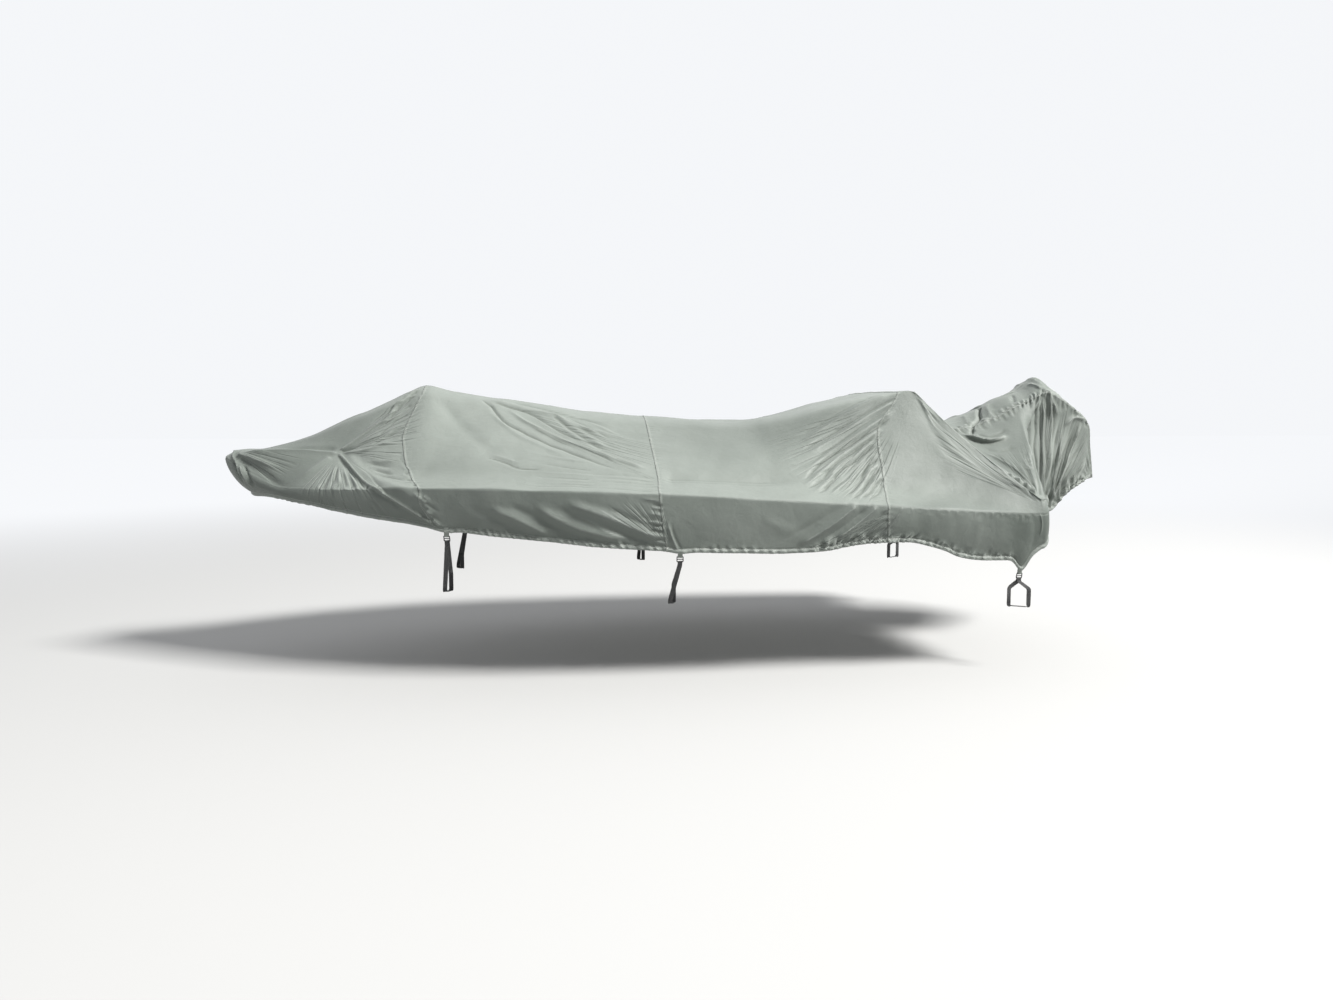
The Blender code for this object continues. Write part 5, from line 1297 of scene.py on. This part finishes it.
class Nodes:
    """A tree of shader nodes. Each method adds one node and returns its output, and an input is a number,
    a colour or the output of another node."""

    def __init__(self, tree):
        self.tree = tree

    def add(self, kind, settings=(), **inputs):
        """A node of the given kind. An input is called by its name, or by n and its number."""
        node = self.tree.nodes.new(kind)
        for key, value in dict(settings).items():
            setattr(node, key, value)
        for key, value in inputs.items():
            self.set(node, key, value)
        return node

    def set(self, node, key, value):
        """Links or sets one input."""
        numbered = key[0] == "n" and key[1:].isdigit()
        socket = node.inputs[int(key[1:])] if numbered else node.inputs[key.replace("_", " ")]
        if isinstance(value, bpy.types.NodeSocket):
            self.tree.links.new(value, socket)
        else:
            socket.default_value = value

    def math(self, operation, *values):
        """The result of a sum, a function or a comparison of values."""
        inputs = {"n%d" % k: v for k, v in enumerate(values)}
        return self.add("ShaderNodeMath", {"operation": operation}, **inputs).outputs[0]

    def times(self, one, two):
        """Their product."""
        return self.math("MULTIPLY", one, two)

    def off(self, value, middle):
        """How far value is from middle, without its sign."""
        return self.math("ABSOLUTE", self.math("SUBTRACT", value, middle))

    def wave(self, value, pitch):
        """The sine that comes round once in each pitch of value."""
        return self.math("SINE", self.times(value, 2 * np.pi / pitch))

    def ramp(self, value, low, high, to_low=0.0, to_high=1.0):
        """A smooth step from to_low, where value is low, to to_high, where it is high."""
        return self.add("ShaderNodeMapRange", {"interpolation_type": "SMOOTHSTEP"}, Value=value,
                        From_Min=low, From_Max=high, To_Min=to_low, To_Max=to_high).outputs[0]

    def mix(self, share, one, two):
        """A share of colour two over colour one."""
        return self.add("ShaderNodeMix", {"data_type": "RGBA"}, n0=share, n6=one, n7=two).outputs[2]

    def attribute(self, name):
        """One of the mesh's own measures."""
        return self.add("ShaderNodeAttribute", {"attribute_name": name}).outputs["Fac"]

    def where(self):
        """The point's place in the object."""
        return self.add("ShaderNodeTexCoord").outputs["Object"]

    def woven(self):
        """Metres along the cloth and across it."""
        uv = self.add("ShaderNodeUVMap", {"uv_map": "weave"}).outputs[0]
        return self.add("ShaderNodeSeparateXYZ", Vector=uv).outputs[:2]

    def noise(self, vector, scale, detail=3.0, rough=0.5, swirl=0.0):
        """Uneven noise between 0 and 1, about scale bumps to each unit of vector."""
        return self.add("ShaderNodeTexNoise", Vector=vector, Scale=scale, Detail=detail, Roughness=rough,
                        Distortion=swirl).outputs["Fac"]

    def bump(self, height, distance, strength, under=None):
        """The normal of a relief of height times distance, over the relief under it."""
        inputs = {} if under is None else {"Normal": under}
        node = self.add("ShaderNodeBump", Height=height, Distance=distance, Strength=strength, **inputs)
        return node.outputs[0]


class Look(Nodes):
    """A material's nodes."""

    def __init__(self, name):
        self.material = bpy.data.materials.new(name)
        self.material.use_nodes = True
        super().__init__(self.material.node_tree)

    def finish(self, **inputs):
        """The material, with these inputs of its surface."""
        for key, value in inputs.items():
            self.set(self.tree.nodes["Principled BSDF"], key, value)
        return self.material


SAGE = (0.238, 0.264, 0.240, 1)
# The next two colours are painted shade: the cloth where it faces aside, and where its painted shade is
# deepest.
SAGE_PAINTED_SHADE = (0.146, 0.166, 0.149, 1)
SAGE_PAINTED_DEEP_SHADE = (0.088, 0.104, 0.091, 1)
# Real fading and wear, and also a painted highlight along the crests.
SAGE_WORN_AND_HIGHLIGHT = (0.300, 0.325, 0.300, 1)
# Real dull tone and dirt, and also painted shade in the hollows and along the fine creases.
SAGE_DULL_AND_SHADE = (0.150, 0.168, 0.148, 1)
BACKING = (0.40, 0.41, 0.395, 1)
THREAD = (0.52, 0.54, 0.50, 1)
WEAVE_PITCH = 0.0011
RIB_PITCH = 0.0021      # of the webbing, across it and along it
PICK_PITCH = 0.0016
STITCH_LENGTH = 0.0046
STITCH_WIDE = (0.0008, 0.0004)      # how far off its row a stitch ends, and how far it is whole
LAP_ROWS = (0.003, 0.0085)          # rows of stitches, by their distance from the edge of a lap
SEAM_ROW = 0.0075                   # and from a welt
RAY_WANDER = 0.7        # how far a fine crease leaves its own ray, in rays
HEM_SLANT = 1.1         # slant of the hem's crinkles
HEM_CRINKLES = (62.0, 20.0)         # how many there are to the metre, along the hem and away from it


def stitch_row(look, distance, at, travel):
    """Stitches in a row at one distance from an edge, along the direction of travel."""
    step = look.math("FRACT", look.math("DIVIDE", travel, STITCH_LENGTH))
    dash = look.times(look.ramp(step, 0.06, 0.16), look.ramp(step, 0.82, 0.72))
    return look.times(look.ramp(look.off(distance, at), *STITCH_WIDE), dash)


def cloth_look():
    """Coated polyester: bleached in broad patches, with painted light and shade (lighter where it faces up,
    darker where it faces aside), paler along its crests (partly wear, partly painted highlight), painted
    shade in its hollows and along the rays' fine creases, a fine plain weave and rows of stitches beside laps
    and welts and above the hem."""
    look = Look("cover_cloth")
    u, v = look.woven()
    own = look.where()
    crease, hem, lap, seam, backing, sun, depth = (look.attribute(name) for name in (
        "crease", "hem", "lap_edge", "seam", "backing", "sun", "ray_depth"))

    stitches = stitch_row(look, lap, LAP_ROWS[0], v)
    for distance, at, travel in ((lap, LAP_ROWS[1], v), (hem, HEM_STITCH, u), (seam, SEAM_ROW, u)):
        stitches = look.math("MAXIMUM", stitches, stitch_row(look, distance, at, travel))
    stitches = look.times(stitches, look.math("SUBTRACT", 1.0, backing))

    bent = look.math("MULTIPLY_ADD", look.noise(own, 3.0, 1.0, 0.5), RAY_WANDER, look.attribute("ray_turn"))
    ray = look.add("ShaderNodeCombineXYZ", X=bent, Y=look.attribute("ray_out")).outputs[0]
    valley = look.off(look.noise(ray, 1.0, 1.0, 0.4), 0.5)
    slant = look.math("MULTIPLY_ADD", hem, HEM_SLANT, u)
    gathered = look.add("ShaderNodeCombineXYZ", X=look.times(slant, HEM_CRINKLES[0]),
                        Y=look.times(hem, HEM_CRINKLES[1])).outputs[0]
    at_hem = look.times(look.ramp(hem, 0.060, 0.022), look.attribute("drawn"))

    cloudy = look.noise(own, 9.0, 5.0, 0.6)
    # paler along the crests: partly wear, partly painted highlight
    wear_and_painted_highlight = look.times(look.ramp(crease, 0.0002, 0.0016), look.ramp(cloudy, 0.3, 0.6, 0.35, 1.0))
    soiled = look.times(look.ramp(hem, 0.16, 0.02), look.ramp(look.noise(own, 22, 4.0, 0.6), 0.42, 0.7))
    # lines: painted shade along the fine creases of the rays
    lines = look.times(look.ramp(valley, 0.035, 0.0), depth)
    # Painted light and shade: lighter where the cloth faces up or a spot adds light, darker where it faces
    # aside or a spot takes it away.
    colour = look.mix(look.ramp(sun, 0.40, 0.98), SAGE_PAINTED_SHADE, SAGE)
    for share, over in (
            # painted deeper shade where the spots take the measure below zero
            (look.ramp(sun, 0.00, -0.60), SAGE_PAINTED_DEEP_SHADE),
            (look.ramp(look.noise(own, 1.7, 4.0, 0.55), 0.35, 0.68, 0.0, 0.22), SAGE_WORN_AND_HIGHLIGHT),
            (look.ramp(cloudy, 0.4, 0.75, 0.0, 0.16), SAGE_DULL_AND_SHADE),
            # paler along its crests: partly wear, partly painted highlight
            (look.times(wear_and_painted_highlight, 0.52), SAGE_WORN_AND_HIGHLIGHT),
            # painted shade in the hollows
            (look.ramp(crease, -0.0002, -0.0014, 0.0, 0.62), SAGE_DULL_AND_SHADE),
            (look.ramp(hem, 0.032, 0.026, 0.0, 0.50), SAGE_WORN_AND_HIGHLIGHT),
            (look.times(soiled, 0.35), SAGE_DULL_AND_SHADE),
            (look.times(stitches, 0.85), THREAD),
            (backing, BACKING),
            # painted shade in the rays' fine creases
            (look.times(lines, 0.45), SAGE_DULL_AND_SHADE)):
        colour = look.mix(share, colour, over)

    # From the weave up: crumples, dents, the rays' creases, the hem's crinkles and the stitches.
    relief = None
    for height, distance, strength in (
            (look.times(look.wave(u, WEAVE_PITCH), look.wave(v, WEAVE_PITCH)), 0.00018, 0.55),
            (look.noise(own, 34.0, 4.0, 0.5, 0.4), 0.0030, 0.50),
            (look.noise(own, 13.0, 3.0, 0.5, 0.7), 0.0060, 0.45),
            (look.times(look.ramp(valley, 0.0, 0.07), depth), 0.0070, 0.75),
            (look.times(look.noise(gathered, 1.0, 2.0, 0.5), at_hem), 0.0110, 0.9),
            (stitches, 0.0008, 0.8)):
        relief = look.bump(height, distance, strength, relief)
    rough = look.ramp(look.noise(own, 6.0, 3.0, 0.5), 0.3, 0.7, 0.52, 0.62)
    return look.finish(Base_Color=colour, Roughness=rough, Normal=relief, Specular_IOR_Level=0.38,
                       Sheen_Weight=0.12, Sheen_Roughness=0.45)


def webbing_look():
    """Black webbing with a ribbed weave, greyed along its edges."""
    look = Look("webbing")
    u, v = look.woven()
    edge = look.ramp(look.math("ABSOLUTE", v), 0.0095, 0.0125, 0.0, 0.6)
    dust = look.ramp(look.noise(look.where(), 60, 4.0, 0.6), 0.4, 0.75, 0.05, 0.5)
    colour = look.mix(look.math("MAXIMUM", edge, dust), (0.026, 0.027, 0.029, 1), (0.085, 0.085, 0.082, 1))
    weave = look.bump(look.times(look.wave(v, RIB_PITCH), look.wave(u, PICK_PITCH)), 0.0003, 0.8)
    return look.finish(Base_Color=colour, Roughness=0.72, Normal=weave, Sheen_Weight=0.25)


def plastic_look():
    """Black moulded plastic, a little scuffed."""
    look = Look("buckle_plastic")
    own = look.where()
    scuff = look.ramp(look.noise(own, 180, 4.0, 0.6), 0.5, 0.75)
    colour = look.mix(look.times(scuff, 0.5), (0.022, 0.022, 0.024, 1), (0.07, 0.07, 0.07, 1))
    grain = look.bump(look.noise(own, 420, 2.0, 0.5), 0.0002, 0.35)
    return look.finish(Base_Color=colour, Roughness=look.ramp(scuff, 0, 1, 0.34, 0.55), Normal=grain)


# ------------------------------------------------------------------ stage

FLOOR = (0.50, 0.50, 0.495, 1)
FLOOR_FAR = (0.02, 0.02, 0.02, 1)
FLOOR_HALF = 60.0
ROOM = (0.96, 0.975, 1.0, 1)
ROOM_FRONT = 0.30
ROOM_BACK = 0.95


def room_brightness(look, towards):
    """Brightness of the room in a direction: dim in front of the cover and bright behind it."""
    ahead = look.add("ShaderNodeVectorMath", {"operation": "NORMALIZE"}, n0=towards).outputs[0]
    across = look.add("ShaderNodeSeparateXYZ", Vector=ahead).outputs[1]
    return look.ramp(across, -0.5, 0.75, ROOM_FRONT, ROOM_BACK)


def floor_look():
    """A pale matt floor that far from the cover goes over into the room's brightness, so that no horizon
    shows."""
    look = Look("pale_floor")
    own = look.where()
    distance = look.add("ShaderNodeVectorMath", {"operation": "LENGTH"}, n0=own).outputs["Value"]
    far = look.ramp(distance, 3.5, 13.0)
    level = look.add("ShaderNodeVectorMath", {"operation": "MULTIPLY"}, n0=own, n1=(1, 1, 0)).outputs[0]
    return look.finish(Base_Color=look.mix(far, FLOOR, FLOOR_FAR), Roughness=0.8, Specular_IOR_Level=0.0,
                       Emission_Color=ROOM, Emission_Strength=look.times(far, room_brightness(look, level)))


def floor():
    """A plain floor at ground level."""
    corners = np.array([(ORIGIN_X + a * FLOOR_HALF, b * FLOOR_HALF, 0)
                        for a, b in ((-1, -1), (1, -1), (1, 1), (-1, 1))])
    made = mesh_object("floor", corners, np.array([[0, 1, 2], [0, 2, 3]]))
    made.data.materials.append(floor_look())


def softbox(name, middle, aim, size, power, colour):
    """A rectangular area light that faces aim."""
    data = bpy.data.lights.new(name, "AREA")
    data.shape = "RECTANGLE"
    data.size, data.size_y = size
    data.energy = power
    data.color = colour
    made = bpy.data.objects.new(name, data)
    made.location = middle
    toward = mathutils.Vector(aim) - mathutils.Vector(middle)
    made.rotation_euler = toward.to_track_quat("-Z", "Y").to_euler()
    bpy.context.collection.objects.link(made)


def studio():
    """Soft light from high above and behind the stern, on the camera's side, and a room that is bright
    behind the cover and dimmer in front of it."""
    softbox("key_light", (16.5, -10.0, 20.5), (0.0, 0.0, -0.2), (9.0, 6.5), 15500, (1.0, 0.99, 0.97))
    softbox("fill_light", (-4.6, -5.2, 1.6), (-0.6, 0.0, -0.3), (3.0, 2.0), 12, (0.96, 0.98, 1.0))
    world = bpy.data.worlds.new("room")
    bpy.context.scene.world = world
    world.use_nodes = True
    room = Nodes(world.node_tree)
    background = room.tree.nodes["Background"]
    room.set(background, "Color", ROOM)
    towards = room.add("ShaderNodeTexCoord").outputs["Generated"]
    room.set(background, "Strength", room_brightness(room, towards))
    bpy.context.scene.view_settings.view_transform = "Standard"


# ------------------------------------------------------------------ the cover

# A panel as cut: width by length, and its own area. No panel is given one here.
Cut = namedtuple("Cut", "flat area")


SEED = 20261124
SWELL_SEEDS = 10**6     # the swells' own seed is drawn below this


def ready(made, look):
    """Gives a drawn piece its look, and says that it rides on the one body in place of its node."""
    made.data.materials.append(look)
    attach(made, "root")
    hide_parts(made.name.removesuffix("_drawn"))


def tie_downs(webbing, plastic, cloth_stuff):
    """Every buckle with its strap and its loop."""
    for tie in TIES:
        for side_name, side in SIDES:
            tail = tie.name + "_" + side_name
            centre = node_centre("buckle_" + tail)
            clip = buckle("buckle_" + tail + "_drawn", tie, side, centre)
            ready(clip, plastic)
            strap, path = tie_strap("tie_strap_" + tail + "_drawn", tie, side, centre)
            ready(strap, webbing)
            loop = hem_loop("hem_loop_" + tail + "_drawn", tie, side, node_centre("hem_loop_" + tail))
            ready(loop, cloth_stuff)


def panels(chance, cloth_stuff):
    """Every panel. Those of one group are draped together."""
    lines = every_line(chance)
    girth = nominal_girth(FRONT_RIDGE)
    nose = np.full_like(girth, SECTIONS[0].x)
    first, second, third = (seam_x(seam, girth) for seam in (SEAM_A, SEAM_B, SEAM_C))
    groups = [
        [front_panel("bow_panel", nose, first, BOW_CELLS, False)],
        [front_panel("forward_panel", first, second, FORWARD_CELLS, True)],
        [front_panel("centre_panel", second, third, CENTRE_CELLS, True)],
        stern_patches()]
    waves = chance.integers(1, SWELL_SEEDS)
    for group in groups:
        draped = drape(weld(group), lines, np.random.default_rng(waves))
        for panel in sorted(set(draped.cloth.names)):
            made = panel_object(panel + "_drawn", draped, panel)
            ready(made, cloth_stuff)


def main():
    """The whole picture: camera, tie-downs, panels, floor and light."""
    photographer()
    webbing, plastic, cloth_stuff = webbing_look(), plastic_look(), cloth_look()
    tie_downs(webbing, plastic, cloth_stuff)
    panels(np.random.default_rng(SEED), cloth_stuff)
    floor()
    studio()


main()
